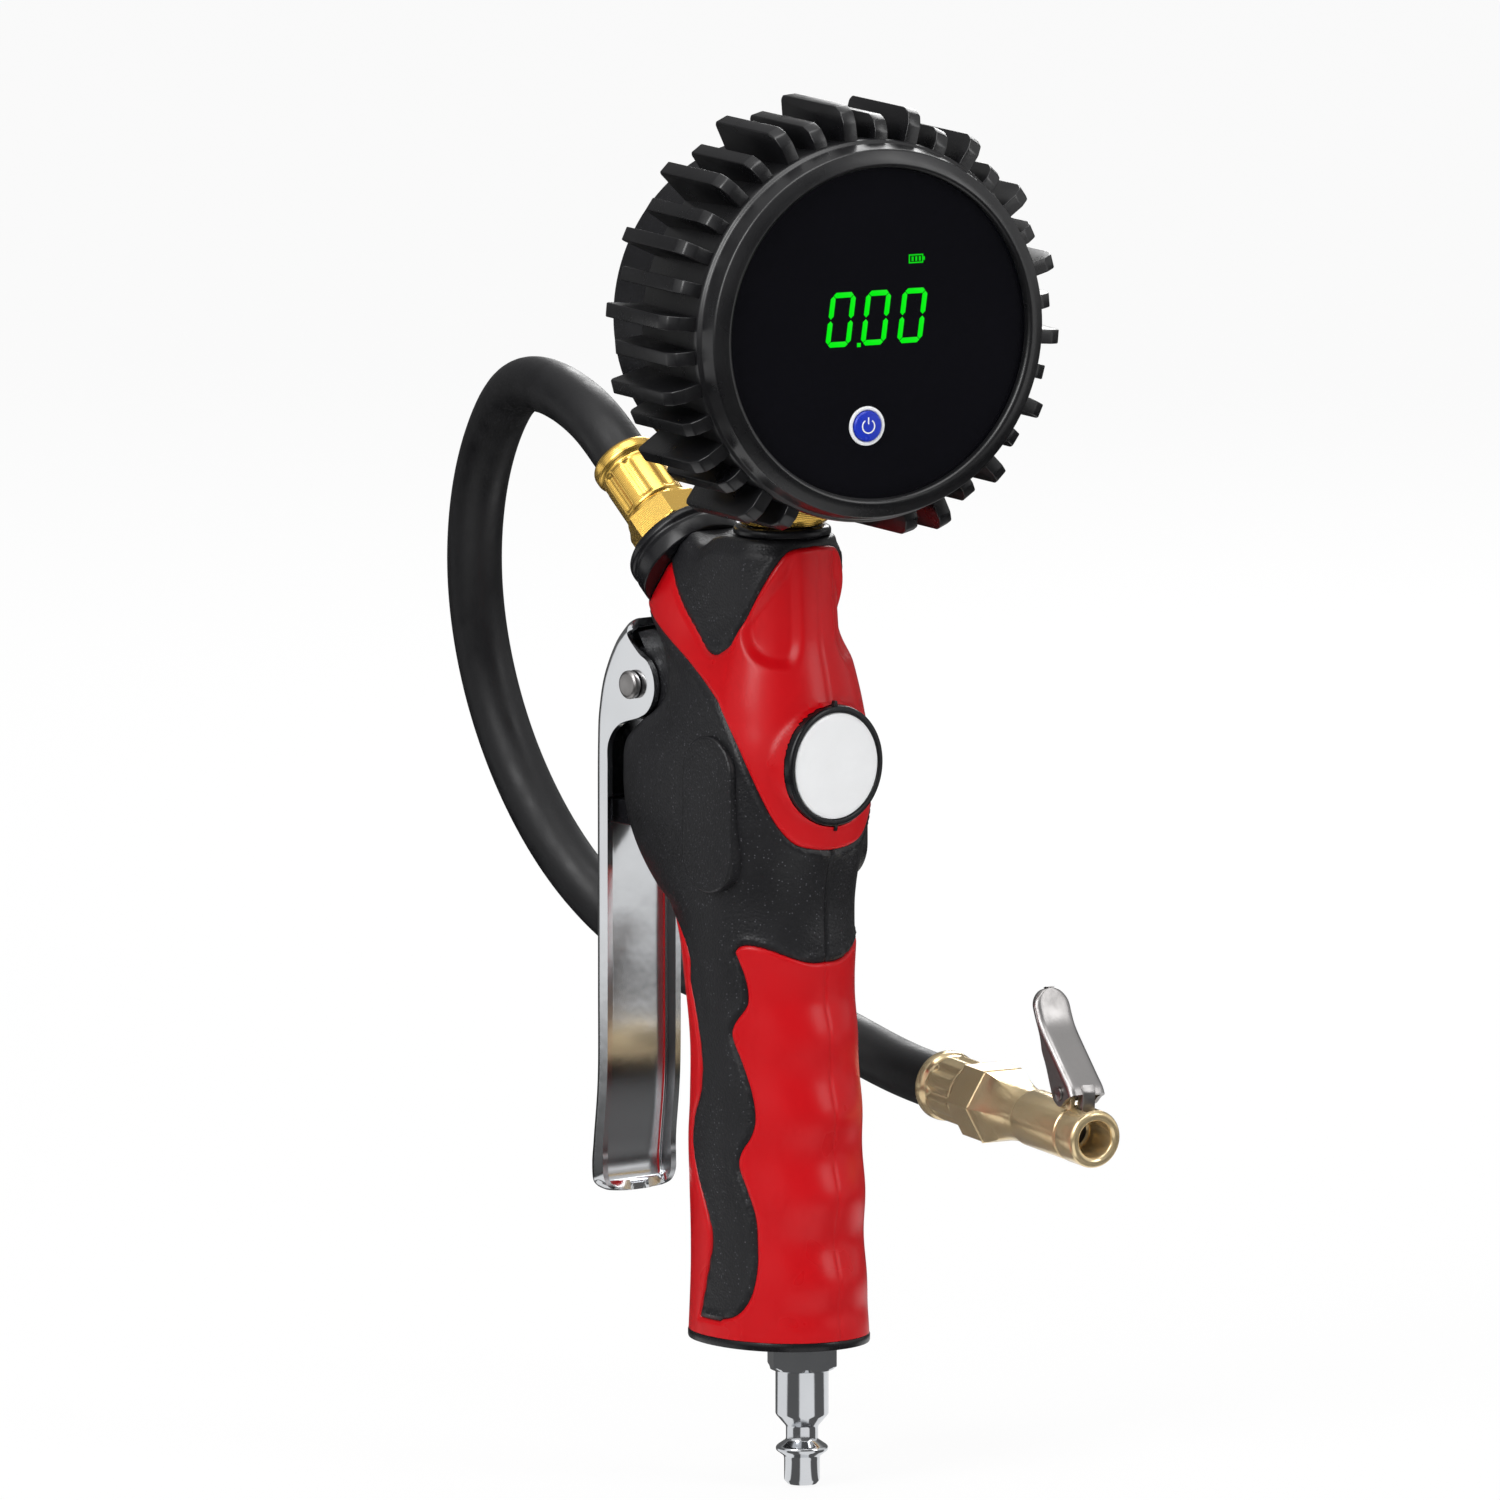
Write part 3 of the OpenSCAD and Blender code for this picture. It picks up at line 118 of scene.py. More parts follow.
def crowded(count: int, power: float = 1.6) -> Points:
    """Numbers from 0 to 1 that crowd at both ends: half of 1 -/+ |1 - 2u| to the power."""
    u = np.linspace(-1, 1, count)
    return 0.5 * (1 + np.sign(u) * (1 - (1 - np.abs(u)) ** power))


def rounded(outline: Points, radius: float, steps: int = 5) -> Points:
    """An open outline whose inner corners are replaced by quadratic curves.

    Args:
        outline: Points (n, 2) or (n, 3).
        radius: How far from a corner its curve starts, at most 0.45 of the shorter neighbour stretch.
        steps: Points on each curve.

    Returns:
        The outline with its curves.
    """
    before, at, after = outline[:-2], outline[1:-1], outline[2:]
    back, ahead = before - at, after - at
    back_l = np.linalg.norm(back, axis=1, keepdims=True)
    ahead_l = np.linalg.norm(ahead, axis=1, keepdims=True)
    reach = np.minimum(radius, 0.45 * np.minimum(back_l, ahead_l))
    a, b = at + back / back_l * reach, at + ahead / ahead_l * reach
    t = np.linspace(0, 1, steps)[None, :, None]
    curve = (1 - t) ** 2 * a[:, None] + 2 * t * (1 - t) * at[:, None] + t**2 * b[:, None]
    return np.vstack([outline[:1], curve.reshape(-1, outline.shape[1]), outline[-1:]])


def drawn(points: Points, steps: int) -> Points:
    """A smooth curve drawn near a row of points: the uniform cubic B-spline that they control.

    Args:
        points: Control points (n, 3).
        steps: Points on each stretch.

    Returns:
        The curve, from near the second control point to near the last but one.
    """
    t = (np.arange(steps) / steps)[None, :, None]
    a, b, c, d = (points[k : len(points) - 3 + k, None] for k in range(4))
    weights = (1 - t) ** 3, 3 * t**3 - 6 * t**2 + 4, 1 + 3 * t + 3 * t**2 - 3 * t**3, t**3
    curve = (weights[0] * a + weights[1] * b + weights[2] * c + weights[3] * d) / 6
    last = (points[-3] + 4 * points[-2] + points[-1]) / 6
    return np.vstack([curve.reshape(-1, 3), last[None]])


@dataclass(frozen=True)
class Axes:
    """A local frame in millimetres: an origin and three unit axes."""

    origin: Place = (0, 0, 0)
    x: Place = (1, 0, 0)
    y: Place = (0, 1, 0)
    z: Place = (0, 0, 1)

    def place(self, points: Points) -> Points:
        """Points given in this frame, in the frame of the whole object."""
        return np.asarray(self.origin, float) + points @ np.array([self.x, self.y, self.z], float)

    def at(self, x: float, y: float, z: float) -> Place:
        """One point of this frame, in the frame of the whole object."""
        return tuple(self.place(np.array([x, y, z], float)))


def turned_axes(origin: Place, tilt: float) -> Axes:
    """A frame turned about +X by tilt degrees, as the hose port's is."""
    c, s = math.cos(math.radians(tilt)), math.sin(math.radians(tilt))
    return Axes(origin, (1, 0, 0), (0, c, s), (0, -s, c))


def chuck_axes(origin: Place, pitch: float, yaw: float) -> Axes:
    """A frame for the chuck, whose z runs along -Y, dipped and turned towards -X.

    Args:
        origin: Its origin in millimetres.
        pitch: Dip of z in degrees.
        yaw: Turn of z towards -X in degrees.

    Returns:
        The frame.
    """
    sin_p, cos_p = math.sin(math.radians(pitch)), math.cos(math.radians(pitch))
    sin_w, cos_w = math.sin(math.radians(yaw)), math.cos(math.radians(yaw))
    along = (-sin_w * cos_p, -cos_w * cos_p, -sin_p)
    return Axes(origin, (cos_w, -sin_w, 0), (-sin_p * sin_w, -sin_p * cos_w, cos_p), along)


def facing_front(origin: Place, turn: float = 0.0) -> Axes:
    """A frame whose z looks to the front (-Y), turned towards -X by turn degrees, with its y upright."""
    c, s = math.cos(math.radians(turn)), math.sin(math.radians(turn))
    return Axes(origin, (c, -s, 0), (0, 0, 1), (-s, -c, 0))


WORLD = Axes()
STEM = Axes((0, 7, 0))
PORT = turned_axes((0, 41, 180), -50)
CHUCK = chuck_axes((65, 29, 54.5), 3.5, 8.5)
GAUGE = facing_front((0, 7, 237), 12.2)
ACROSS = Axes((0, 0, 0), (0, 0, 1), (0, 1, 0), (1, 0, 0))


def shade(mesh: bpy.types.Mesh, sharp: float) -> None:
    """Shades a mesh smooth, and sharp at edges of more than sharp degrees."""
    mesh.shade_smooth()
    mesh.set_sharp_from_angle(angle=math.radians(sharp))


class Shape:
    """Closed surfaces gathered in millimetres, which become one mesh object."""

    def __init__(self) -> None:
        """Starts with no surface."""
        self.points: list[Points] = []
        self.faces: list[list[int]] = []
        self.along: list[Points] = []
        self.count = 0

    def add(self, points: Points, quads: Points, fans: Sequence[Sequence[int]] = (),
            along: Points | None = None) -> "Shape":
        """Adds one closed surface and turns its faces outwards.

        The sign of the enclosed volume, the sum of a . (b x c) over its triangles, says which way they face.

        Args:
            points: Points (n, 3).
            quads: Faces (m, 4) as indices of points.
            fans: Further faces with any number of corners.
            along: Length along the piece at each point, for its finish.

        Returns:
            This shape.
        """
        used = np.unique(np.concatenate([quads.ravel(), *fans]).astype(int))
        renumber = np.full(len(points), -1)
        renumber[used] = np.arange(len(used))
        points, quads = points[used], renumber[quads]
        fans = [renumber[np.asarray(f)] for f in fans]
        if along is not None:
            along = along[used]
        tris = [quads[:, [0, 1, 2]], quads[:, [0, 2, 3]]]
        tris += [np.stack([np.full(len(f) - 2, f[0]), f[1:-1], f[2:]], axis=1) for f in fans]
        t = np.concatenate(tris)
        volume = np.einsum("ij,ij->i", points[t[:, 0]], np.cross(points[t[:, 1]], points[t[:, 2]])).sum()
        if volume < 0:
            quads, fans = quads[:, ::-1], [f[::-1] for f in fans]
        self.faces += (quads + self.count).tolist() + [(f + self.count).tolist() for f in fans]
        self.points.append(points)
        self.along.append(np.zeros(len(points)) if along is None else along)
        self.count += len(points)
        return self

    def build(self, name: str, sharp: float = 40.0) -> Piece:
        """Makes the mesh object, in metres.

        Args:
            name: Name of the piece.
            sharp: Angle in degrees from which an edge is shaded sharp.

        Returns:
            The piece.
        """
        mesh = bpy.data.meshes.new(name)
        mesh.from_pydata((np.concatenate(self.points) * MM).tolist(), [], self.faces)
        mesh.validate()
        lengths = mesh.attributes.new("along", "FLOAT", "POINT")
        lengths.data.foreach_set("value", np.concatenate(self.along).astype(np.float32))
        shade(mesh, sharp)
        piece = bpy.data.objects.new(name, mesh)
        bpy.context.scene.collection.objects.link(piece)
        return piece


def cells(rows: int, cols: int, ring_rows: bool = False, ring_cols: bool = False) -> Points:
    """Four corner indices of every cell of a grid.

    Args:
        rows: Rows of points.
        cols: Columns of points.
        ring_rows: Whether the last row joins the first.
        ring_cols: Whether the last column joins the first.

    Returns:
        The cells (n, 4).
    """
    i, j = np.indices((rows if ring_rows else rows - 1, cols if ring_cols else cols - 1))
    i2, j2 = (i + 1) % rows, (j + 1) % cols
    return np.stack([i * cols + j, i2 * cols + j, i2 * cols + j2, i * cols + j2], axis=-1).reshape(-1, 4)


def add_loop(shape: Shape, grid: Points, along: Points | None = None) -> Shape:
    """Adds a closed band: a grid whose rows and columns both close on themselves."""
    faces = cells(*grid.shape[:2], True, True)
    return shape.add(grid.reshape(-1, 3), faces, along=None if along is None else along.ravel())


def add_capped(shape: Shape, grid: Points, along: Points | None = None) -> Shape:
    """Adds a solid: rows of points round it, closed by a flat face at the first and at the last row.

    Args:
        shape: Shape that takes it.
        grid: Points (rows, columns, 3).
        along: Length along the piece at each point, for its finish.

    Returns:
        The shape.
    """
    rows, cols = grid.shape[:2]
    first, last = np.arange(cols)[::-1], (rows - 1) * cols + np.arange(cols)
    quads = cells(rows, cols, False, True)[:, ::-1]
    return shape.add(grid.reshape(-1, 3), quads, [first, last], None if along is None else along.ravel())


def add_shell(shape: Shape, outer: Points, inner: Points, shut: Points | None = None, ring: bool = False) -> Shape:
    """Adds a wall between two grids of the same size.

    Args:
        shape: Shape that takes it.
        outer: Outer grid (rows, columns, 3).
        inner: Inner grid.
        shut: True for each cell that is there; the others stay open.
        ring: Whether the last column joins the first.

    Returns:
        The shape.
    """
    rows, cols = outer.shape[:2]
    wide = cols if ring else cols - 1
    there = np.ones((rows - 1, wide), bool) if shut is None else shut
    size = rows * cols
    face = cells(rows, cols, False, ring).reshape(rows - 1, wide, 4)[there]
    parts = [face[:, ::-1], face + size]
    padded = np.zeros((rows + 1, wide + 2), bool)
    padded[1:-1, 1:-1] = there
    if ring:
        padded[1:-1, 0], padded[1:-1, -1] = there[:, -1], there[:, 0]
    corner = cells(rows, cols, False, ring).reshape(rows - 1, wide, 4)
    for shift, ends in (((-1, 0), (0, 3)), ((1, 0), (2, 1)), ((0, -1), (1, 0)), ((0, 1), (3, 2))):
        beside = padded[1 + shift[0] : rows + shift[0], 1 + shift[1] : wide + 1 + shift[1]]
        edge = corner[there & ~beside][:, list(ends)]
        parts.append(np.stack([edge[:, 1], edge[:, 0], edge[:, 0] + size, edge[:, 1] + size], axis=1))
    return shape.add(np.concatenate([outer.reshape(-1, 3), inner.reshape(-1, 3)]), np.concatenate(parts))


def lathe(shape: Shape, axes: Axes, profile: Table, segments: int = 96, closed: bool = True, flats: float = 0.0,
          hex_rows: tuple[float, float] = (0.0, 0.0), taper: tuple[float, float] | None = None,
          flutes: tuple[int, float, float, float] | None = None) -> Shape:
    """Turns a profile round an axis.

    The radius at an angle is the profile's radius, or in hexagon rows the smaller one of it and the
    hexagon's, flats / 2 over the cosine of the angle from the flat's middle. In the tapered rows the radius is
    the profile's, widened at the corners by a share of 1 / cosine that fades to nothing. Flutes take the
    radius down by depth times a raised cosine in their own rows.

    Args:
        shape: Shape that takes the surface.
        axes: Frame whose z is the axis.
        profile: Radius and height of each point. A closed profile goes all the way round the section.
        segments: Points round the axis, a multiple of 6.
        closed: False where the profile starts and ends on the axis, where flat faces close it.
        flats: Width across the hexagon's flats, or 0.
        hex_rows: Lowest and highest height at which the hexagon cuts.
        taper: Lowest and highest height between which the hexagon's corners fade away.
        flutes: Number, depth, lowest and highest height of pressed flutes.

    Returns:
        The shape.
    """
    p = np.asarray(profile, float)
    angle = np.arange(segments) * 2 * np.pi / segments
    radius = np.repeat(p[:, :1], segments, axis=1)
    if flats:
        off = np.mod(angle, np.pi / 3) - np.pi / 6
        outside = p[:, 0] > flats * 0.3  # the bore stays round
        inside = (outside & (p[:, 1] >= hex_rows[0]) & (p[:, 1] <= hex_rows[1]))[:, None]
        radius = np.where(inside, np.minimum(radius, flats / 2 / np.cos(off)), radius)
        if taper:
            fade = 1 - step(p[:, 1], *taper)[:, None]
            rows = (outside & (p[:, 1] > hex_rows[1]) & (p[:, 1] <= taper[1]))[:, None]
            radius = np.where(rows, p[:, :1] * (1 - fade + fade / np.cos(off)), radius)
    if flutes:
        count, depth, low, high = flutes
        wave = np.clip(np.cos(count * angle) * 1.6 - 0.15, 0, 1)
        fade = step(p[:, 1], low, low + 0.8) * (1 - step(p[:, 1], high - 1.2, high)) * (p[:, 0] > 5)
        radius = radius - depth * fade[:, None] * wave[None, :]
    along = np.repeat(p[:, 1:], segments, axis=1)
    placed = axes.place(np.stack([radius * np.cos(angle), radius * np.sin(angle), along], axis=-1))
    return add_loop(shape, placed, along) if closed else add_capped(shape, placed, along)


def soft_profile(profile: Table, radius: float, steps: int = 4, closed: bool = True) -> Points:
    """A profile with its corners rounded, closed by going once more past its start.

    Args:
        profile: Radius and height of each point.
        radius: How far from a corner its curve starts.
        steps: Points on each curve.
        closed: Whether its last point joins its first.

    Returns:
        The profile with its curves.
    """
    p = np.asarray(profile, float)
    return rounded(np.vstack([p[-1:], p, p[:1]]), radius, steps)[1:-1] if closed else rounded(p, radius, steps)


def add_slab(shape: Shape, axes: Axes, outline: Points, low: float, high: float, round_off: float) -> Shape:
    """Adds a flat slab with rounded rims.

    Each rim is three rows of the outline drawn in by r (1 - sin a) at the height r (1 - cos a) from its face.

    Args:
        shape: Shape that takes it.
        axes: Frame in whose x, y plane the outline lies.
        outline: Closed outline (n, 2).
        low: Lower face, along the frame's z.
        high: Upper face.
        round_off: Radius of the rims.

    Returns:
        The shape.
    """
    ahead, behind = np.roll(outline, -1, axis=0), np.roll(outline, 1, axis=0)
    tangent = ahead - behind
    tangent /= np.linalg.norm(tangent, axis=1, keepdims=True) + 1e-12
    area = 0.5 * np.sum(outline[:, 0] * ahead[:, 1] - ahead[:, 0] * outline[:, 1])
    normal = np.stack([tangent[:, 1], -tangent[:, 0]], axis=1) * np.sign(area)
    a = np.linspace(0, np.pi / 2, 4)
    back, rise = round_off * (1 - np.sin(a)), round_off * (1 - np.cos(a))
    inset = np.concatenate([back, back[::-1]])
    height = np.concatenate([low + rise, (high - rise)[::-1]])
    flat = outline[None] - inset[:, None, None] * normal[None]
    grid = np.concatenate([flat, np.broadcast_to(height[:, None, None], flat.shape[:2] + (1,))], axis=2)
    return add_capped(shape, axes.place(grid))


def run_length(path: Points) -> Points:
    """Length along a path at each of its points."""
    return np.concatenate([[0], np.cumsum(np.linalg.norm(np.diff(path, axis=0), axis=1))])


def add_tube(shape: Shape, path: Points, radius: float, sides: int, side: Place = (1, 0, 0)) -> Shape:
    """Adds a round tube along a path.

    A ring's first axis is the side direction less its part along the path, its second one is square to both.

    Args:
        shape: Shape that takes it.
        path: Points (n, 3) of the centreline.
        radius: Its radius.
        sides: Points round the tube.
        side: A direction that the path never takes.

    Returns:
        The shape.
    """
    ahead = np.gradient(path, axis=0)
    ahead /= np.linalg.norm(ahead, axis=1, keepdims=True)
    ref = np.asarray(side, float)
    a = ref - (ahead @ ref)[:, None] * ahead
    a /= np.linalg.norm(a, axis=1, keepdims=True)
    b = np.cross(ahead, a)
    angle = (np.arange(sides) * 2 * np.pi / sides)[None, :, None]
    grid = path[:, None] + radius * (np.cos(angle) * a[:, None] + np.sin(angle) * b[:, None])
    return add_capped(shape, grid, np.repeat(run_length(path)[:, None], sides, axis=1))


@dataclass
class Channel:
    """A bent sheet channel: a web carried along a path, with a flange on each side.

    The path and the flanges' free edge are given as pairs in the plane x = 0, in the frame's own x and y:
    the web's outer face, and the place of the free edge that belongs to it.
    """

    web: Table
    edge: Table
    width: float
    thickness: float
    corner: float
    inward: float = 1.0
    end_round: tuple[float, float] = (0.0, 0.0)
    rows: int = 120

    def add(self, shape: Shape, axes: Axes) -> Shape:
        """Adds the channel.

        Across a row, u runs up one flange, round a quarter circle of the corner's radius, over the web,
        and down the other side. Along the rows, web and edge follow their smoothed outlines by the same share
        of their points. At an end that is rounded by r, half the width shrinks to
        w/2 - r + sqrt(r2 - (r - s)2) at the distance s from the end.

        Args:
            shape: Shape that takes it.
            axes: Frame whose z runs across the channel.

        Returns:
            The shape.
        """
        web, edge = np.asarray(self.web, float), np.asarray(self.edge, float)
        key = np.linspace(0, 1, len(web))
        t = np.linspace(0, 1, self.rows)
        web = np.stack([smooth(np.stack([key, web[:, k]], axis=1), t) for k in (0, 1)], axis=1)
        edge = np.stack([smooth(np.stack([key, edge[:, k]], axis=1), t) for k in (0, 1)], axis=1)
        ahead = np.gradient(web, axis=0)
        ahead /= np.linalg.norm(ahead, axis=1, keepdims=True)
        normal = self.inward * np.stack([ahead[:, 1], -ahead[:, 0]], axis=1)
        run = run_length(web)
        half = np.full(self.rows, self.width / 2)
        for radius, from_end in zip(self.end_round, (run, run[-1] - run)):
            if radius:
                s = np.minimum(from_end, radius)
                half -= radius - np.sqrt(np.maximum(radius**2 - (radius - s) ** 2, 0))
        # One side of a row: seven points up the flange, seven round the corner, three over half the web.
        down, a, middle = np.linspace(1, 0, 8)[:-1], np.linspace(0, np.pi / 2, 7), np.array([0.3, 0.65, 1.0])
        flange = np.concatenate([down, np.zeros(len(a) + len(middle))])
        across = np.concatenate([np.zeros(len(down) + len(a)), middle])
        grids = []
        for inset in (0.0, self.thickness):
            bend = self.corner - inset
            lateral = np.concatenate([np.zeros(len(down)), bend * (1 - np.cos(a)), np.full(len(middle), bend)])
            depth = np.concatenate([np.full(len(down), bend), bend * (1 - np.sin(a)), np.zeros(len(middle))]) + inset
            x = (half[:, None] - inset - lateral[None]) * (1 - across[None])
            corner = web[:, None] + depth[None, :, None] * normal[:, None]
            point = corner + flange[None, :, None] * (edge[:, None] - corner)
            side = np.concatenate([point, x[..., None]], axis=2)
            other = side[:, -2::-1].copy()
            other[..., 2] *= -1
            grids.append(axes.place(np.concatenate([side, other], axis=1)))
        return add_shell(shape, grids[0], grids[1])


# ---------------------------------------------------------------- finishes


def linear(hex_colour: str) -> tuple[float, float, float, float]:
    """A linear colour from an sRGB hex value: v / 12.92, or ((v + 0.055) / 1.055) to the 2.4 above 0.04045."""
    rgb = [int(hex_colour[k : k + 2], 16) / 255 for k in (1, 3, 5)]
    return tuple(v / 12.92 if v <= 0.04045 else ((v + 0.055) / 1.055) ** 2.4 for v in rgb) + (1.0,)


def add_node(tree: bpy.types.NodeTree, kind: str, inputs: dict[Any, Any] | None = None,
             **settings: Any) -> bpy.types.Node:
    """Adds a node with its settings, values and links.

    Args:
        tree: Node tree that takes it.
        kind: Type of the node, without the ShaderNode before it.
        inputs: Value, output socket, or node whose first output is meant, for each input by name or number.
        **settings: Properties of the node.

    Returns:
        The node.
    """
    made = tree.nodes.new("ShaderNode" + kind)
    for key, value in settings.items():
        setattr(made, key, value)
    for key, value in (inputs or {}).items():
        if isinstance(value, bpy.types.Node):
            tree.links.new(value.outputs[0], made.inputs[key])
        elif isinstance(value, bpy.types.NodeSocket):
            tree.links.new(value, made.inputs[key])
        else:
            made.inputs[key].default_value = value
    return made


def empty_tree(owner: bpy.types.Material | bpy.types.World) -> bpy.types.NodeTree:
    """The node tree of a material or a world, with nothing in it."""
    owner.use_nodes = True
    owner.node_tree.nodes.clear()
    return owner.node_tree


@dataclass(frozen=True)
class Finish:
    """A surface finish with a fine relief, a slow change of colour and a change of roughness.

    The grain is the spacing in millimetres of the fine relief, height its depth in millimetres. Patches are
    the spacing of the slow change, whose second colour is shade. Rings are the spacing of a tool's marks along
    a turned piece, ring_height their depth.
    """

    name: str
    colour: str
    shade: str
    metallic: float = 0.0
    roughness: float = 0.4
    rough_change: float = 0.06
    ior: float = 1.5
    grain: float = 0.6
    height: float = 0.02
    patches: float = 14.0
    specular: float = 0.5
    coat: float = 0.0
    rings: float = 0.0
    ring_height: float = 0.0

    def material(self) -> bpy.types.Material:
        """Builds the node material.

        Two noises on Object coordinates: the slow one mixes the two colours and moves the roughness, the
        fine one gives the bump. Turned finishes add rings, a wave along the piece's own axis.

        Returns:
            The material.
        """
        made = bpy.data.materials.new(self.name)
        tree = empty_tree(made)
        where = add_node(tree, "TexCoord").outputs["Object"]
        slow = add_node(tree, "TexNoise", {
            "Vector": where, "Scale": 1 / (self.patches * MM), "Detail": 3.0, "Roughness": 0.55})
        fine = add_node(tree, "TexNoise", {
            "Vector": where, "Scale": 1 / (self.grain * MM), "Detail": 2.0, "Roughness": 0.6})
        colour = add_node(tree, "Mix", {
            0: slow, 6: linear(self.colour), 7: linear(self.shade)}, data_type="RGBA")
        rough = add_node(tree, "MapRange", {
            "Value": slow, "From Min": 0.3, "From Max": 0.7,
            "To Min": max(self.roughness - self.rough_change, 0.02), "To Max": self.roughness + self.rough_change})
        bump = add_node(tree, "Bump", {
            "Height": fine, "Strength": 1.0, "Distance": self.height * MM})
        if self.rings:
            along = add_node(tree, "Attribute", attribute_name="along")
            phase = add_node(tree, "Math", {
                0: along.outputs["Fac"], 1: 2 * math.pi / self.rings}, operation="MULTIPLY")
            wave = add_node(tree, "Math", {0: phase}, operation="SINE")
            bump = add_node(tree, "Bump", {
                "Height": wave, "Strength": 1.0, "Distance": self.ring_height * MM, "Normal": bump})
        shader = add_node(tree, "BsdfPrincipled", {
            "Base Color": colour.outputs[2], "Metallic": self.metallic, "Roughness": rough, "IOR": self.ior,
            "Specular IOR Level": self.specular, "Coat Weight": self.coat, "Coat Roughness": 0.12,
            "Normal": bump})
        add_node(tree, "OutputMaterial", {"Surface": shader})
        return made


@dataclass(frozen=True)
class SparkErodedAbs:
    """Black ABS from a spark-eroded mould: a pebbled skin, with small points of light painted into its colour as pale
    dots.

    Lengths are in millimetres. The real pebbles are about 0.15 mm across; they are drawn 0.6 mm across so
    that they show.
    """

    name: str = "spark_eroded_abs"
    pebble: float = 0.62
    grain: float = 0.5
    patches: float = 16.0
    height: float = 0.12
    colour: str = "#161618"
    shade: str = "#1f1f22"
    # Colour of the painted highlights, pale dots on some pebbles.
    painted_highlight: str = "#57575c"

    def material(self) -> bpy.types.Material:
        """Builds the node material.

        Voronoi pebbles and a noise make the bump. Every sixth pebble or so gets a painted highlight: a small pale dot
        in its middle, mixed into the colour, standing in for a facet that catches the light.

        Returns:
            The material.
        """
        made = bpy.data.materials.new(self.name)
        tree = empty_tree(made)
        where = add_node(tree, "TexCoord").outputs["Object"]
        pebbles = add_node(tree, "TexVoronoi", {
            "Vector": where, "Scale": 1 / (self.pebble * MM)}, feature="F1")
        noise = add_node(tree, "TexNoise", {
            "Vector": where, "Scale": 1 / (self.grain * MM), "Detail": 3.0, "Roughness": 0.65})
        slow = add_node(tree, "TexNoise", {
            "Vector": where, "Scale": 1 / (self.patches * MM), "Detail": 2.0})
        height = add_node(tree, "Mix", {
            0: 0.5, 2: pebbles.outputs["Distance"], 3: noise}, data_type="FLOAT")
        # Painted highlights: a pale colour mixed into the base in the middle of about one pebble in six.
        chance = add_node(tree, "SeparateColor", {0: pebbles.outputs["Color"]})
        chosen = add_node(tree, "MapRange", {"Value": chance, "From Min": 0.75, "From Max": 0.95})
        middle = add_node(tree, "MapRange", {
            "Value": pebbles.outputs["Distance"], "From Min": 0.12, "From Max": 0.34, "To Min": 1.0, "To Max": 0.0})
        painted_highlight_mask = add_node(tree, "Math", {0: chosen, 1: middle}, operation="MULTIPLY")
        base = add_node(tree, "Mix", {
            0: slow, 6: linear(self.colour), 7: linear(self.shade)}, data_type="RGBA")
        colour = add_node(tree, "Mix", {
            0: painted_highlight_mask, 6: base.outputs[2], 7: linear(self.painted_highlight)}, data_type="RGBA")
        rough = add_node(tree, "MapRange", {
            "Value": slow, "From Min": 0.3, "From Max": 0.7, "To Min": 0.36, "To Max": 0.46})
        bump = add_node(tree, "Bump", {
            "Height": height, "Strength": 1.0, "Distance": self.height * MM})
        shader = add_node(tree, "BsdfPrincipled", {
            "Base Color": colour.outputs[2], "Roughness": rough, "IOR": 1.53,
            "Specular IOR Level": 0.32, "Normal": bump})
        add_node(tree, "OutputMaterial", {"Surface": shader})
        return made


@dataclass(frozen=True)
class Lit:
    """A part of the display that glows: a lit crystal segment, an even colour with its own light."""

    name: str
    colour: str
    strength: float
    patches: float = 3.0

    def material(self) -> bpy.types.Material:
        """Builds the node material: emission over a dark plastic, a little uneven from edge to edge.

        Returns:
            The material.
        """
        made = bpy.data.materials.new(self.name)
        tree = empty_tree(made)
        where = add_node(tree, "TexCoord").outputs["Object"]
        uneven = add_node(tree, "TexNoise", {
            "Vector": where, "Scale": 1 / (self.patches * MM), "Detail": 1.0})
        glow = add_node(tree, "MapRange", {
            "Value": uneven, "To Min": self.strength * 0.93, "To Max": self.strength})
        shader = add_node(tree, "BsdfPrincipled", {
            "Base Color": linear("#050806"), "Roughness": 0.3, "Specular IOR Level": 0.1,
            "Emission Color": linear(self.colour), "Emission Strength": glow})
        add_node(tree, "OutputMaterial", {"Surface": shader})
        return made


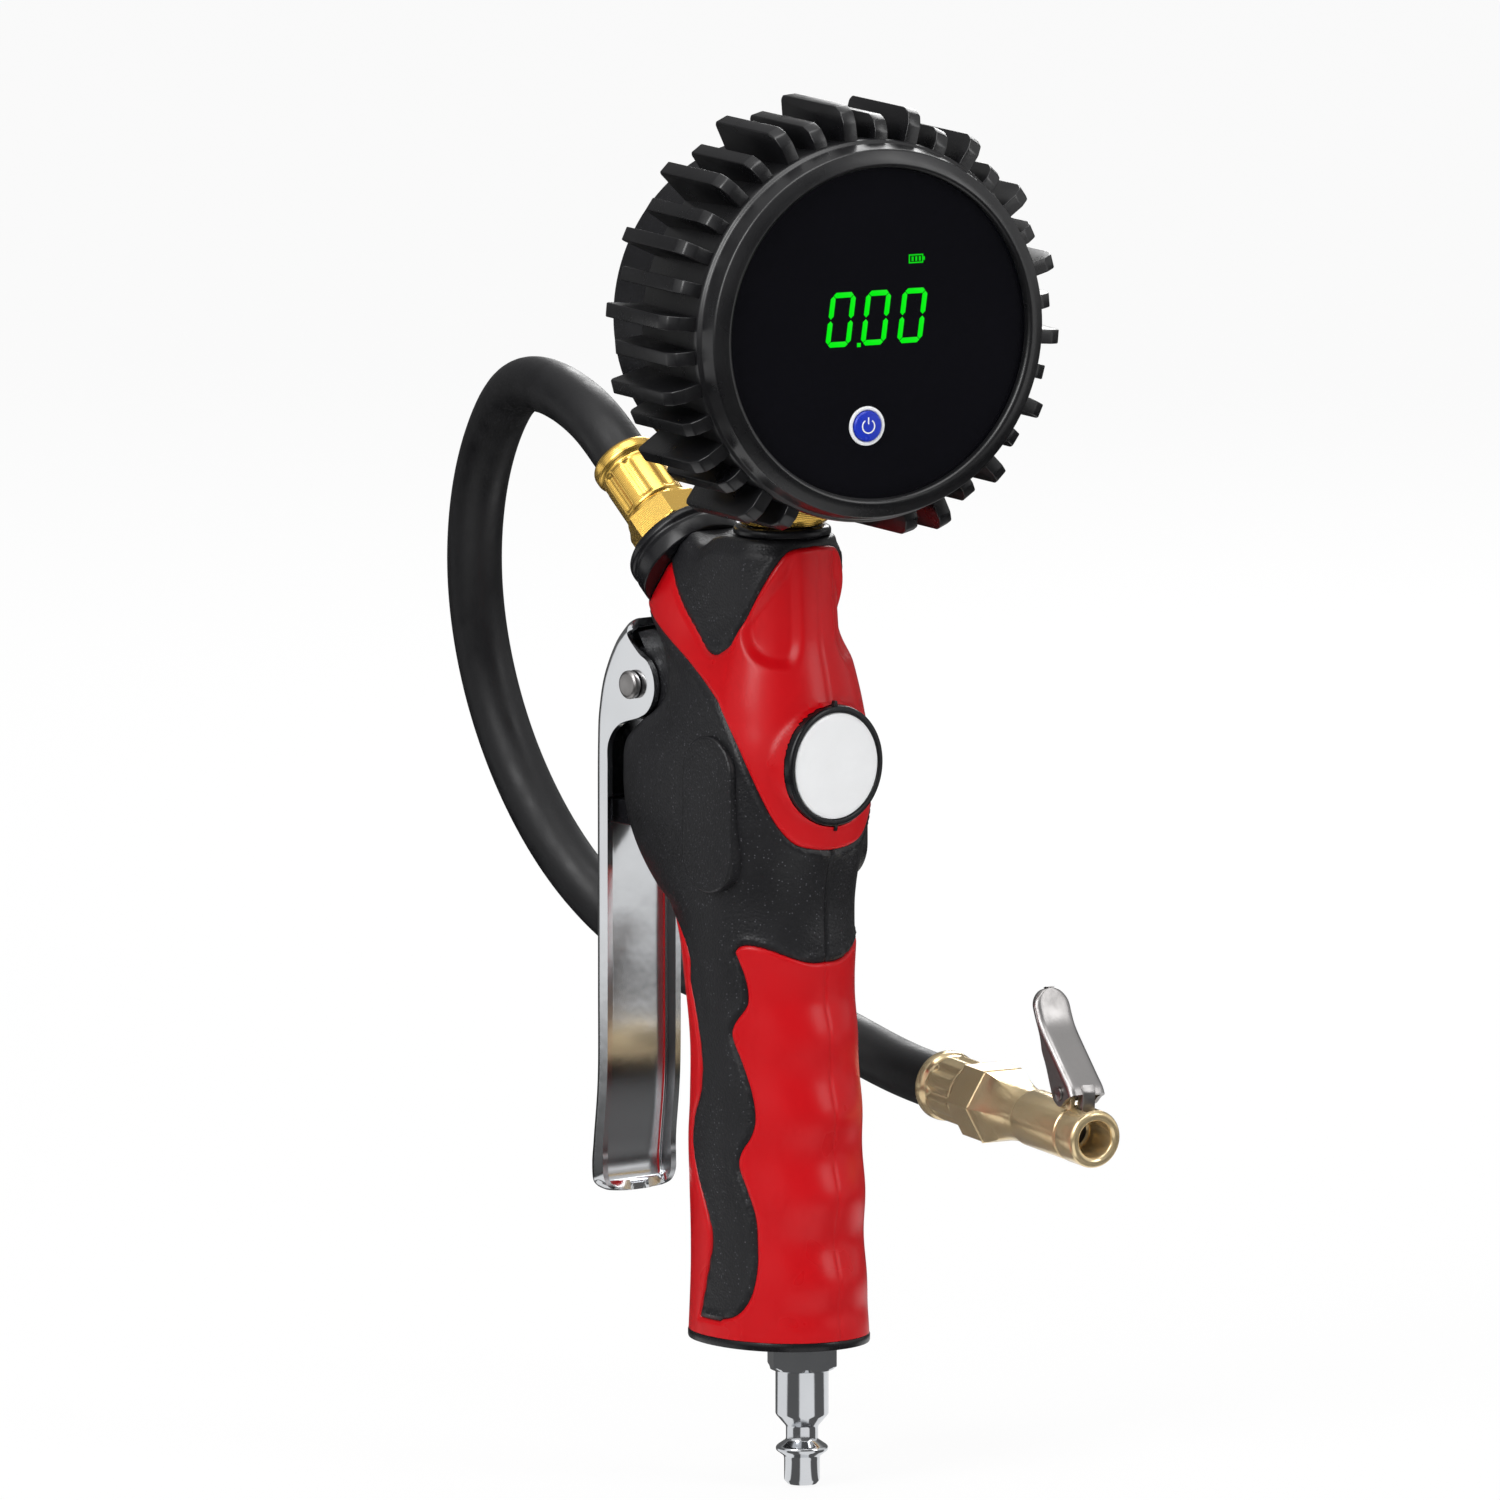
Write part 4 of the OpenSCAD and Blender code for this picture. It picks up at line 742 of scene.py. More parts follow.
class Finishes:
    """All the finishes of the object, made once."""

    def __init__(self) -> None:
        """Builds every material."""
        self.abs = SparkErodedAbs().material()
        # Elastomer over-moulding: saturated and satin, with a very fine skin.
        self.grip = Finish("red_elastomer", "#be0710", "#c80a15", roughness=0.3, rough_change=0.04,
                           grain=0.55, height=0.012, patches=20, specular=0.25).material()
        # Boot rubber: charcoal, with a dull bloom.
        self.boot = Finish("moulded_boot_rubber", "#101012", "#18181a", roughness=0.3, rough_change=0.05, ior=1.52,
                           grain=0.9, height=0.012, patches=9).material()
        # Hose rubber: satin black with a faint dusty mottling.
        self.hose = Finish("hose_rubber", "#131315", "#1b1b1d", roughness=0.46, rough_change=0.1, ior=1.52,
                           grain=1.1, height=0.03, patches=7, specular=0.3).material()
        # Bright chromium plate on stamped sheet: a mirror with a slight waviness.
        self.chrome = Finish("chromium_plate", "#d9dbdd", "#cfd1d4", metallic=1, roughness=0.15, rough_change=0.03,
                             grain=6, patches=25).material()
        # Turned brass: warm and bright, with the tool's rings.
        self.brass = Finish("turned_brass", "#eec769", "#e5b552", metallic=0.85, roughness=0.22, rough_change=0.05,
                            grain=1.4, height=0.01, patches=8, rings=0.45, ring_height=0.006).material()
        # Paler brass of the chuck, turned and then tumbled: straw-coloured, with softened rings.
        self.pale_brass = Finish("tumbled_brass", "#f0dcb2", "#e0c592", metallic=0.72, roughness=0.2,
                                 grain=1.2, height=0.014, patches=7, rings=0.5, ring_height=0.006).material()
        # Nickel plate on bent sheet: a grey, slightly warm and blurred mirror.
        self.nickel = Finish("nickel_plate", "#a9a7a6", "#93908f", metallic=1, roughness=0.36, rough_change=0.08,
                             grain=2, height=0.012, patches=5).material()
        # Nickel plate on the turned plug: a clear mirror in dark and light stripes.
        self.plug = Finish("nickel_plated_plug", "#d9dbde", "#c9ccd0", metallic=1, roughness=0.1, rough_change=0.03,
                           grain=2, height=0.008, patches=9).material()
        # Zinc-plated screws and springs: a dull grey metal.
        self.zinc = Finish("zinc_plated_steel", "#a9abae", "#97999c", metallic=1, roughness=0.34,
                           grain=1, patches=5).material()
        # Die-cast zinc of the body: grey and slightly rough from the die.
        self.cast = Finish("die_cast_zinc", "#8d9094", "#7d8084", metallic=1, roughness=0.45,
                           grain=0.8, height=0.04, patches=12).material()
        # ABS from a polished mould: smooth near-black with soft lights.
        self.smooth_abs = Finish("polished_black_abs", "#121214", "#19191c", roughness=0.26,
                                 grain=0.8, height=0.008, patches=12, specular=0.3).material()
        # Black acrylic: deep and glossy, so that the unlit window cannot be told from its frame.
        self.lens = Finish("black_acrylic", "#0b0b0f", "#0d0d12", roughness=0.1, rough_change=0.02, ior=1.49,
                           grain=8, height=0.004, patches=30, specular=0.25).material()
        # Lacquered satin aluminium: close to white, with hardly any mirror.
        self.badge = Finish("satin_aluminium", "#fbfcfd", "#f4f5f6", metallic=0.06, roughness=0.36, rough_change=0.05,
                            grain=0.5, height=0.006, patches=6).material()
        # White and blue ABS of the button and its ring: even colours with a soft shine.
        self.white = Finish("white_abs", "#f2f3f4", "#e9eaec", roughness=0.35,
                            grain=0.8, height=0.008, patches=6).material()
        self.blue = Finish("blue_abs", "#1233c4", "#0f2cab", roughness=0.3,
                           grain=0.8, height=0.01, patches=4).material()
        # Nitrile rubber of the seals: matt black.
        self.seal = Finish("nitrile_rubber", "#17181a", "#202124", roughness=0.55, grain=0.5, patches=3).material()
        # Solder mask: bottle green with a soft shine.
        self.board = Finish("solder_mask", "#145c33", "#0e4a28", roughness=0.35, grain=2, patches=8).material()
        # Shrink film round the batteries: blue under a clear coat.
        self.wrap = Finish("battery_film", "#2f6f8f", "#285e7b", roughness=0.25,
                           grain=3, height=0.01, patches=15, coat=0.3).material()
        # Lit segments: an even bright green, and a dimmer one for the icon.
        self.glow = Lit("lit_segments", "#00f312", 1.0).material()
        self.glow_dim = Lit("lit_icon", "#00f312", 0.75).material()


def dress_nodes(material: bpy.types.Material, names: Iterable[str]) -> None:
    """Gives CAD nodes, whose meshes stay as they are, the material.

    Args:
        material: The material.
        names: The nodes' names.
    """
    for name in names:
        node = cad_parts[name]
        if not node.data.materials:
            node.data.materials.append(material)
        for slot in node.material_slots:
            slot.material = material


def place(piece: Piece, material: bpy.types.Material, body: Body, slot: str, *replaced: str) -> None:
    """Dresses a new piece, puts it on its body and hides the nodes that it stands for.

    Args:
        piece: The piece.
        material: Its finish.
        body: The body that it rides on.
        slot: The record's slot that its finish belongs to; not used.
        *replaced: Names of the CAD nodes that it stands for.
    """
    piece.data.materials.clear()
    piece.data.materials.append(material)
    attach(piece, body.value)
    if replaced:
        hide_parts(*replaced)
    LOG.info("%s: %d faces", piece.name, len(piece.data.polygons))


def carve(piece: Piece, cutter: Shape, operation: str = "DIFFERENCE") -> None:
    """Cuts closed shapes out of a piece, or joins them to it, and leaves no modifier behind.

    Args:
        piece: The piece, which gets a new mesh.
        cutter: The shapes.
        operation: DIFFERENCE to cut, UNION to join.
    """
    other = cutter.build("cutter")
    modifier = piece.modifiers.new("cut", "BOOLEAN")
    modifier.object, modifier.operation, modifier.solver = other, operation, "MANIFOLD"
    graph = bpy.context.evaluated_depsgraph_get()
    mesh = bpy.data.meshes.new_from_object(piece.evaluated_get(graph))
    if len(mesh.polygons) in (0, len(piece.data.polygons)):
        raise RuntimeError(f"{piece.name}: the cut did nothing, or left nothing")
    piece.modifiers.clear()
    old, piece.data = piece.data, mesh
    bpy.data.meshes.remove(old)
    bpy.data.objects.remove(other)
    mesh.name = piece.name


# ---------------------------------------------------------------- camera and light


@dataclass
class Studio:
    """The camera, a pale floor, soft lamps and a bright surround. Lengths are in metres, angles in degrees."""

    aim: Place = (-0.00896, 0.00738, 0.1393)
    azimuth: float = -39.5
    elevation: float = 8.0
    distance: float = 6.0
    lens: float = 648.0
    floor_z: float = -0.0263
    floor_half: float = 9.0
    lamp_aim: Place = (0, 0.02, 0.14)

    def put(self, name: str, data: bpy.types.ID, aim: Place, azimuth: float, elevation: float,
            distance: float) -> Piece:
        """Puts a camera or a lamp so that it faces a point.

        Args:
            name: Its name.
            data: Its data.
            aim: The point that it faces.
            azimuth: Angle of its place round the point, 0 at the front.
            elevation: Angle of its place above the point.
            distance: Its distance from the point.

        Returns:
            The object.
        """
        made = bpy.data.objects.new(name, data)
        bpy.context.scene.collection.objects.link(made)
        a, e = math.radians(azimuth), math.radians(elevation)
        away = np.array([math.sin(a) * math.cos(e), -math.cos(a) * math.cos(e), math.sin(e)])
        made.location = np.array(aim) + distance * away
        made.rotation_euler = (math.pi / 2 - e, 0, a)
        return made

    def camera(self) -> None:
        """Makes the camera, which looks at aim from azimuth and elevation."""
        data = bpy.data.cameras.new("camera")
        data.lens, data.sensor_width, data.clip_end = self.lens, 36.0, 60.0
        scene = bpy.context.scene
        scene.camera = self.put("camera", data, self.aim, self.azimuth, self.elevation, self.distance)
        scene.view_settings.view_transform = "Standard"

    def floor(self) -> None:
        """Makes the floor: pale for lamps, and close to white for the eye, with a trace of the shadow.

        Gloss sees three fans of pale paper below the object, a cosine of three times the angle round it, with
        black card round them, and two white strips farther off, in front and behind.
        """
        r, z = self.floor_half, self.floor_z
        mesh = bpy.data.meshes.new("floor")
        mesh.from_pydata([(-r, -r, z), (r, -r, z), (r, r, z), (-r, r, z)], [], [(0, 1, 2, 3)])
        floor = bpy.data.objects.new("floor", mesh)
        bpy.context.scene.collection.objects.link(floor)
        material = bpy.data.materials.new("matt_paper")
        tree = empty_tree(material)
        path = add_node(tree, "LightPath")
        where = add_node(tree, "TexCoord").outputs["Object"]
        away = add_node(tree, "VectorMath", {0: where}, operation="LENGTH").outputs["Value"]
        close = add_node(tree, "MapRange", {
            "Value": away, "From Min": 0.2, "From Max": 0.36, "To Min": 1.0, "To Max": 0.04},
            interpolation_type="SMOOTHSTEP")
        spot = add_node(tree, "SeparateXYZ", {0: where})
        turn = add_node(tree, "Math", {0: spot.outputs["Y"], 1: spot.outputs["X"]}, operation="ARCTAN2")
        thrice = add_node(tree, "Math", {0: turn, 1: 3.0, 2: -0.6}, operation="MULTIPLY_ADD")
        wave = add_node(tree, "Math", {0: thrice}, operation="COSINE")
        fans = add_node(tree, "MapRange", {
            "Value": wave, "From Min": -0.35, "From Max": 0.1, "To Min": 0.12, "To Max": 0.95},
            interpolation_type="SMOOTHSTEP")
        near = add_node(tree, "Math", {0: close, 1: fans}, operation="MULTIPLY")
        beyond = add_node(tree, "MapRange", {
            "Value": away, "From Min": 0.62, "From Max": 0.76, "To Min": 0.0, "To Max": 1.0},
            interpolation_type="SMOOTHSTEP")
        way = add_node(tree, "VectorMath", {0: where}, operation="NORMALIZE")
        ahead = add_node(tree, "VectorMath", {0: way, 1: (0.66, -0.75, 0)}, operation="DOT_PRODUCT")
        sides = add_node(tree, "Math", {0: ahead.outputs["Value"]}, operation="ABSOLUTE")
        strips = add_node(tree, "MapRange", {
            "Value": sides, "From Min": 0.92, "From Max": 0.975, "To Min": 0.06, "To Max": 0.95},
            interpolation_type="SMOOTHSTEP")
        distant = add_node(tree, "Math", {0: beyond, 1: strips}, operation="MULTIPLY")
        seen = add_node(tree, "Math", {0: near, 1: distant}, operation="ADD")
        paper = add_node(tree, "BsdfDiffuse", {"Color": linear("#f4f4f4")})
        white = add_node(tree, "Emission", {"Color": (1, 1, 1, 1), "Strength": 1.0})
        shown = add_node(tree, "MixShader", {0: 0.93, 1: paper, 2: white})
        gloss = add_node(tree, "Emission", {"Color": (1, 1, 1, 1), "Strength": seen})
        plain = add_node(tree, "MixShader", {
            0: path.outputs["Is Camera Ray"], 1: paper, 2: shown})
        mix = add_node(tree, "MixShader", {
            0: path.outputs["Is Glossy Ray"], 1: plain, 2: gloss})
        add_node(tree, "OutputMaterial", {"Surface": mix})
        mesh.materials.append(material)

    def surround(self) -> None:
        """Makes the world: white to the eye, a dim even light for lamps' shadows, and a dark studio for gloss.

        Gloss sees a pale ceiling, a large window at the left and a card at the right. Each fades in by a soft
        step of its direction's dot product with the ray's.
        """
        world = bpy.data.worlds.new("studio")
        bpy.context.scene.world = world
        tree = empty_tree(world)
        path = add_node(tree, "LightPath")
        way = add_node(tree, "TexCoord").outputs["Generated"]
        axis = add_node(tree, "SeparateXYZ", {0: way})
        ceiling = add_node(tree, "MapRange", {
            "Value": axis.outputs["Z"], "From Min": 0.45, "From Max": 0.9, "To Min": 0.0, "To Max": 0.6},
            interpolation_type="SMOOTHSTEP")
        left = add_node(tree, "VectorMath", {0: way, 1: (-0.94, -0.1, 0.3)}, operation="DOT_PRODUCT")
        window = add_node(tree, "MapRange", {
            "Value": left.outputs["Value"], "From Min": 0.72, "From Max": 0.86, "To Min": 0.0, "To Max": 0.8},
            interpolation_type="SMOOTHSTEP")
        right = add_node(tree, "VectorMath", {0: way, 1: (0.85, -0.45, 0.25)}, operation="DOT_PRODUCT")
        card = add_node(tree, "MapRange", {
            "Value": right.outputs["Value"], "From Min": 0.82, "From Max": 0.93, "To Min": 0.0, "To Max": 0.55},
            interpolation_type="SMOOTHSTEP")
        sides = add_node(tree, "Math", {0: window, 1: card}, operation="ADD")
        all_round = add_node(tree, "Math", {0: ceiling, 1: 0.14}, operation="ADD")
        seen = add_node(tree, "Math", {0: sides, 1: all_round}, operation="ADD")
        even = add_node(tree, "Background", {"Color": (1, 1, 1, 1), "Strength": 0.34})
        gloss = add_node(tree, "Background", {"Color": (1, 1, 1, 1), "Strength": seen})
        white = add_node(tree, "Background", {"Color": (1, 1, 1, 1), "Strength": 1.0})
        light = add_node(tree, "MixShader", {
            0: path.outputs["Is Glossy Ray"], 1: even, 2: gloss})
        eye = add_node(tree, "Math", {
            0: path.outputs["Is Camera Ray"], 1: path.outputs["Is Transmission Ray"]}, operation="MAXIMUM")
        both = add_node(tree, "MixShader", {0: eye, 1: light, 2: white})
        add_node(tree, "OutputWorld", {"Surface": both})

    def build(self) -> None:
        """Makes the stage and the lamps: azimuth, elevation, distance, width, height and power of each."""
        self.floor()
        self.surround()
        for name, azimuth, elevation, distance, wide, high, power in (
            ("key", -80, 35, 1.5, 0.5, 1.1, 12),
            ("fill", 25, 25, 1.7, 0.5, 1.2, 7),
            ("top", -40, 78, 1.5, 1.0, 0.8, 8),
            ("rim", 130, 30, 1.6, 0.5, 1.0, 10),
        ):
            data = bpy.data.lights.new(name, "AREA")
            data.shape, data.size, data.size_y, data.energy = "RECTANGLE", wide, high, power
            self.put(name, data, self.lamp_aim, azimuth, elevation, distance)


# ---------------------------------------------------------------- the hose and its chuck


@dataclass
class Hose:
    """The rubber hose between its two ferrules, in millimetres.

    Its ends go a little way into the ferrules' lips: reach is how far along the port's axis it starts.
    """

    diameter: float = 12.5
    reach: float = 28.7
    steps: int = 22
    sides: int = 40
    route: Table = ((3, 92, 212), (11, 113, 210), (21, 133, 200), (31, 153, 182), (37, 163, 157), (41, 161, 130),
                    (42, 147, 106), (45, 128, 86), (51, 103, 73), (60, 75, 67))

    def path(self) -> Points:
        """The centreline: straight for 2 mm at both ends, and a smooth curve drawn near the route between.

        Returns:
            Its points, from the port to the chuck.
        """
        # Three control points in line, evenly apart, make the curve pass the middle one along their line.
        start = PORT.place(np.array([[0, 0, self.reach + v] for v in (0.0, -10.0, 2.0, 14.0)]))
        end = CHUCK.place(np.array([[0, 0, v] for v in (-22.0, -2.0, 18.0, 0.0)]))
        keys = np.vstack([start[1:], np.asarray(self.route, float), end[:3]])
        return np.vstack([start[:1], drawn(keys, self.steps), end[3:]])

    def build(self, finishes: Finishes, pieces: Sequence[Piece]) -> None:
        """Args:
            finishes: The finishes.
            pieces: The pieces on its far end; not used.
        """
        path = self.path()
        hose = add_tube(Shape(), path, self.diameter / 2, self.sides).build("hose_tube")
        place(hose, finishes.hose, Body.ROOT, "hose_rubber", "hose")


@dataclass
class Ferrule:
    """A crimped brass ferrule with a flared lip on the hose's side, in millimetres."""

    length: float
    radius: float = 7.7
    bore: float = 3.4

    def profile(self) -> Points:
        """Its section, from the hexagon's side to the hose's side.

        Returns:
            Radius and height of its points.
        """
        r, end = self.radius, self.length
        body = [[self.bore, 0], [r - 0.6, 0], [r - 0.2, 0.7], [r - 0.2, 2], [r - 0.2, end * 0.4],
                [r - 0.2, end - 5.4], [r - 0.5, end - 4.3], [r + 0.25, end - 3.1], [r + 0.25, end - 1.1],
                [r - 0.3, end - 0.3], [6.3, end], [self.bore, end]]
        return soft_profile(body, 0.5, 4)

    def add(self, shape: Shape, axes: Axes) -> Shape:
        """Adds the ferrule, with eight flutes of 0.75 mm pressed below the lip."""
        return lathe(shape, axes, self.profile(), flutes=(8, 0.75, 1.2, self.length - 4.4))


@dataclass
class Chuck:
    """The clip-on chuck: ferrule, body with its ears, and the clip lever, in millimetres along its own axis."""

    ferrule: float = 15.4
    mouth: float = 66.0
    hexagon: float = 16.0
    bore: float = 4.15
    pin_back: float = 9.0
    pin_up: float = 9.1
    slope: float = 42.0
    ear: float = 2.3
    ear_foot: float = 4.9
    coil: float = 1.6
    wire: float = 0.28

    @property
    def pin(self) -> tuple[float, float]:
        """The pin's place, along the axis and up."""
        return self.mouth - self.pin_back, self.pin_up

    def clip_point(self, back: Points, up: Points) -> Points:
        """Places on the clip lever.

        Args:
            back: Distances behind the pin, along the lever's slope.
            up: Distances from the pin square to that.

        Returns:
            Pairs of the places along the axis and up.
        """
        s, c = math.sin(math.radians(self.slope)), math.cos(math.radians(self.slope))
        return np.stack([self.pin[0] - back * c + up * s, self.pin[1] + back * s + up * c], axis=-1)

    def build(self, finishes: Finishes) -> list[Piece]:
        """Makes the chuck's visible pieces.

        Args:
            finishes: The finishes.

        Returns:
            All the pieces and nodes at the hose's far end.
        """
        side = Axes(CHUCK.origin, CHUCK.z, CHUCK.y, CHUCK.x)
        back = Axes(CHUCK.at(0, 0, self.ferrule), CHUCK.x, tuple(-np.array(CHUCK.y)), tuple(-np.array(CHUCK.z)))
        ferrule = Ferrule(self.ferrule).add(Shape(), back).build("crimped_chuck_ferrule", 50)
        place(ferrule, finishes.pale_brass, Body.ROOT, "brass_fitting", "chuck_ferrule")
        barrel = self.barrel(side)
        place(barrel, finishes.pale_brass, Body.ROOT, "brass_fitting", "chuck_body")
        clip = self.clip_lever(side)
        place(clip, finishes.nickel, Body.CLIP, "plug_steel", "chuck_lever")
        spring = self.spring()
        place(spring, finishes.zinc, Body.ROOT, "bare_steel", "chuck_lever_spring")
        nodes = [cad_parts[n] for n in ("chuck_seal", "chuck_depressor", "chuck_lever_pin")]
        return [ferrule, barrel, clip, spring, *nodes]

    def barrel(self, side: Axes) -> Piece:
        """Makes the turned body: hexagon, waist, barrel, grooved mouth, two ears and the claw's slot.

        Args:
            side: Frame whose x runs along the axis and whose y points up.

        Returns:
            The piece.
        """
        f, m, r, hexagon = self.ferrule, self.mouth, self.bore, self.hexagon / 2
        bell = [[3.4, f + 0.1], [hexagon - 0.3, f + 0.1], [hexagon + 1.5, f + 1.5], [hexagon + 1.5, f + 5],
                [hexagon + 1.5, f + 9.6], [hexagon, f + 10.2], [7.75, f + 12], [7.3, f + 14], [6.85, f + 16],
                [6.45, f + 18.4], [6.15, f + 20.8], [6.0, f + 23.2], [6.0, f + 24.0], [6.45, f + 24.35],
                [6.45, m - 8.3], [6.15, m - 8.0], [6.15, m - 7.5], [6.55, m - 7.2], [6.55, m - 0.8], [6.0, m],
                [r + 0.6, m], [r, m - 0.6], [r, m - 9.9], [3.4, m - 9.9], [3.4, m - 20]]
        body = lathe(Shape(), CHUCK, soft_profile(bell, 0.3, 3), flats=self.hexagon, hex_rows=(f, f + 10),
                     taper=(f + 10, f + 22))
        axis, up = self.pin
        arc = np.linspace(0, np.pi, 17)
        ear = np.vstack([np.stack([axis - self.ear * np.cos(arc), up + self.ear * np.sin(arc)], axis=1),
                         [[axis + self.ear, self.ear_foot], [axis - self.ear, self.ear_foot]]])
        for low, high in ((1.7, 3.0), (-3.0, -1.7)):
            add_slab(body, side, ear, low, high, 0.25)
        piece = body.build("chuck_barrel", 38)
        slot = np.array([[m - 6.0, 2.2], [m - 1.3, 2.2], [m - 1.3, 9], [m - 6.0, 9]])
        carve(piece, add_slab(Shape(), side, slot, -2.1, 2.1, 0.05))
        return piece

    def clip_lever(self, side: Axes) -> Piece:
        """Makes the clip lever: a bent channel round the pin, a tail that turns up, and the claw.

        Args:
            side: Frame whose x runs along the axis and whose y points up.

        Returns:
            The piece.
        """
        web = self.clip_point(np.array([-3.5, -1.5, 2, 6, 10, 14, 16.5, 19, 21.5, 24]),
                              np.array([4.0, 4.5, 4.5, 4.5, 4.5, 4.55, 4.9, 5.7, 6.7, 7.7]))
        edge = self.clip_point(np.array([-2.7, -2.2, 0.6, 3.6, 8, 11.5, 13.4, 18.6, 21.3, 23.8]),
                               np.array([1.4, -1.8, -2.7, -1.7, 0.0, 1.0, 2.4, 4.6, 5.6, 6.6]))
        shape = Channel(web, edge, 9.4, 1.0, 1.5, inward=-1.0, end_round=(0, 4.5), rows=70).add(Shape(), side)
        m, up = self.mouth, self.pin_up
        claw = [[m - 4.4, up + 2.6], [m - 3.6, up + 1.2], [m - 3.7, 4.6], [m - 5.6, 4.6], [m - 5.6, up + 2.3]]
        add_slab(shape, side, rounded(np.array(claw), 0.4, 3), -1.65, 1.65, 0.2)
        return shape.build("clip_lever_sheet", 35)

    def spring(self) -> Piece:
        """Makes the torsion spring: a helix round the pin, and a leg on the lever and one on the barrel.

        Returns:
            The piece.
        """
        share = np.linspace(0, 1, 90)
        turn = np.radians(-90 - 1218 * share)
        axis, up = self.pin
        helix = np.stack([2.4 * share - 1.2, up + self.coil * np.sin(turn), axis - self.coil * np.cos(turn)], axis=1)
        path = np.vstack([[[-1.2, up - 2.2, axis - 7]], helix, [[1.2, up + 7.6, axis - 3.9]]])
        return add_tube(Shape(), CHUCK.place(path), self.wire, 10, (0.3, 0.8, 0.5)).build("clip_spring_wire", 60)


# ---------------------------------------------------------------- the handle


@dataclass
class Handle:
    """The moulded handle: two black halves, the red grips, the base cap and the badge, in millimetres.

    A row of sections holds the height, the middle's y, the depths to the front and to the back, the half width
    and the fullness. Edges are (angle, height) on the upper grip, (height, angle) on the lower one, and
    (length round the handle, height) on the scoop.
    """

    sections: Table = (
        (5, 8, 20.6, 20.8, 17.2, 2.1), (20, 8, 19.6, 20.3, 16.6, 2.1), (30, 8.2, 19, 20.2, 16.4, 2.1),
        (41, 8.5, 19.6, 20.4, 16.4, 2.1), (51, 9, 19.2, 20.2, 16.4, 2.1), (60, 9.3, 19.2, 19, 16.4, 2.1),
        (73, 10, 18.6, 18.2, 16.2, 2.1), (87, 10.6, 17.6, 20, 16.4, 2.1), (96, 11.4, 19, 20.8, 16.8, 2.1),
        (102, 11.5, 18.8, 24, 17, 2.1), (106, 11.4, 18.8, 31, 17.1, 2.1), (112, 10.8, 19, 38, 17.3, 2.15),
        (118, 10, 19.6, 42.5, 17.8, 2.2), (124, 9, 19.2, 45, 18.2, 2.3), (131, 8, 18.6, 46.5, 18.3, 2.3),
        (137, 8, 18.3, 45.5, 18.2, 2.3), (142, 8, 17.8, 39.6, 17.8, 2.3), (146, 8, 17.2, 33.4, 17.4, 2.2),
        (151, 8, 16.4, 31, 16.8, 2.1), (157, 8, 15, 33, 15.4, 2.1), (163, 7.6, 13, 38.5, 13.6, 2.1),
        (169, 7.2, 12, 41.5, 12.8, 2.1), (177, 7, 11.3, 36.2, 12.4, 2.1), (188, 7, 10.9, 27, 12.2, 2.1))
    upper_low: Table = ((0, 118), (14, 118.5), (28, 120), (40, 124), (52, 130), (66, 138.5), (82, 147), (97, 153.5),
                        (112, 158), (128, 161.5), (146, 165), (158, 167.5))
    upper_high: Table = ((0, 185.5), (30, 184.5), (45, 181), (58, 176.5), (72, 171), (86, 165.5), (95, 160.8),
                         (101, 161.5), (110, 166.5), (120, 171.5), (132, 176), (143, 178.5), (150, 176.5), (158, 171))
    lower_front: Table = ((12, 88), (13, 78), (15, 70), (18, 64.5), (22, 61), (27, 58.8), (35, 60), (42, 67),
                          (47, 72), (50, 70), (54, 62), (58, 59), (64, 61), (70, 67), (76, 74.3), (79, 71.5),
                          (83, 61), (86, 59.5), (90, 62), (95, 68.3))
    lower_back: Table = ((12, 108), (20, 102), (30, 96), (37, 102), (44, 113), (50, 119), (56, 117), (62, 107),
                         (68, 104), (75, 107), (82, 112), (87, 116), (92, 113), (97, 122), (102, 146), (106, 168))
    scoop: Table = ((4.4, 186), (4.0, 162), (6.5, 158), (14, 159.2), (18.2, 163), (19.6, 168.5))
    wall: float = 2.5
    gap: float = 0.3
    grip: float = 1.0
    grip_edge: float = 0.1
    rim_r: float = 1.1
    seam: float = 0.16
    seam_wide: float = 0.35
    low_z: float = 8.2
    top_z: float = 187.0
    band_z: float = 11.8
    back_top: float = 105.0
    upper_end: float = 158.0
    mean_depth: float = 14.0
    arc_share: float = 0.78
    lower_radius: float = 18.0
    front_z: float = 92.6
    front_rise: float = 4.2
    lobe_start: float = 0.86
    lobe_wide: float = 0.14
    lobe_drop: float = 2.6
    badge_z: float = 137.0
    badge_r: float = 13.5
    proud: float = 0.95
    proud_edge: tuple[float, float] = (-0.2, 0.7)
    lip: float = 0.38
    lip_back: float = 1.15
    lip_wide: float = 0.5
    parting: float = 0.45
    parting_wide: float = 0.4
    boss_back: float = 10.0
    boss_r: float = 13.4
    boss_fall: float = 9.5
    boss_fillet: float = 2.6
    boss_slope: float = 1.6
    boss_blend: float = 0.9
    boss_front: float = 6.0
    boss_reach: float = 24.0
    bump: float = 0.6
    bump_first: float = 20.8
    bump_pitch: float = 18.6
    bump_wide: float = 45.0
    bump_start: tuple[float, float] = (10, 17)
    bump_stop: tuple[float, float] = (80, 89)
    scoop_depth: float = 0.11
    scoop_degree: float = 0.236
    scoop_blend: float = 0.7
    scoop_rise: tuple[float, float] = (-0.3, 2.6)
    saddle: float = 3.4
    saddle_y: float = 24.0
    saddle_wide: float = 5.5
    saddle_rise: tuple[float, float] = (170, 187)
    port_r: float = 13.25
    slot_z: tuple[float, float] = (116.9, 123.1)
    slot_angle: float = 158.6

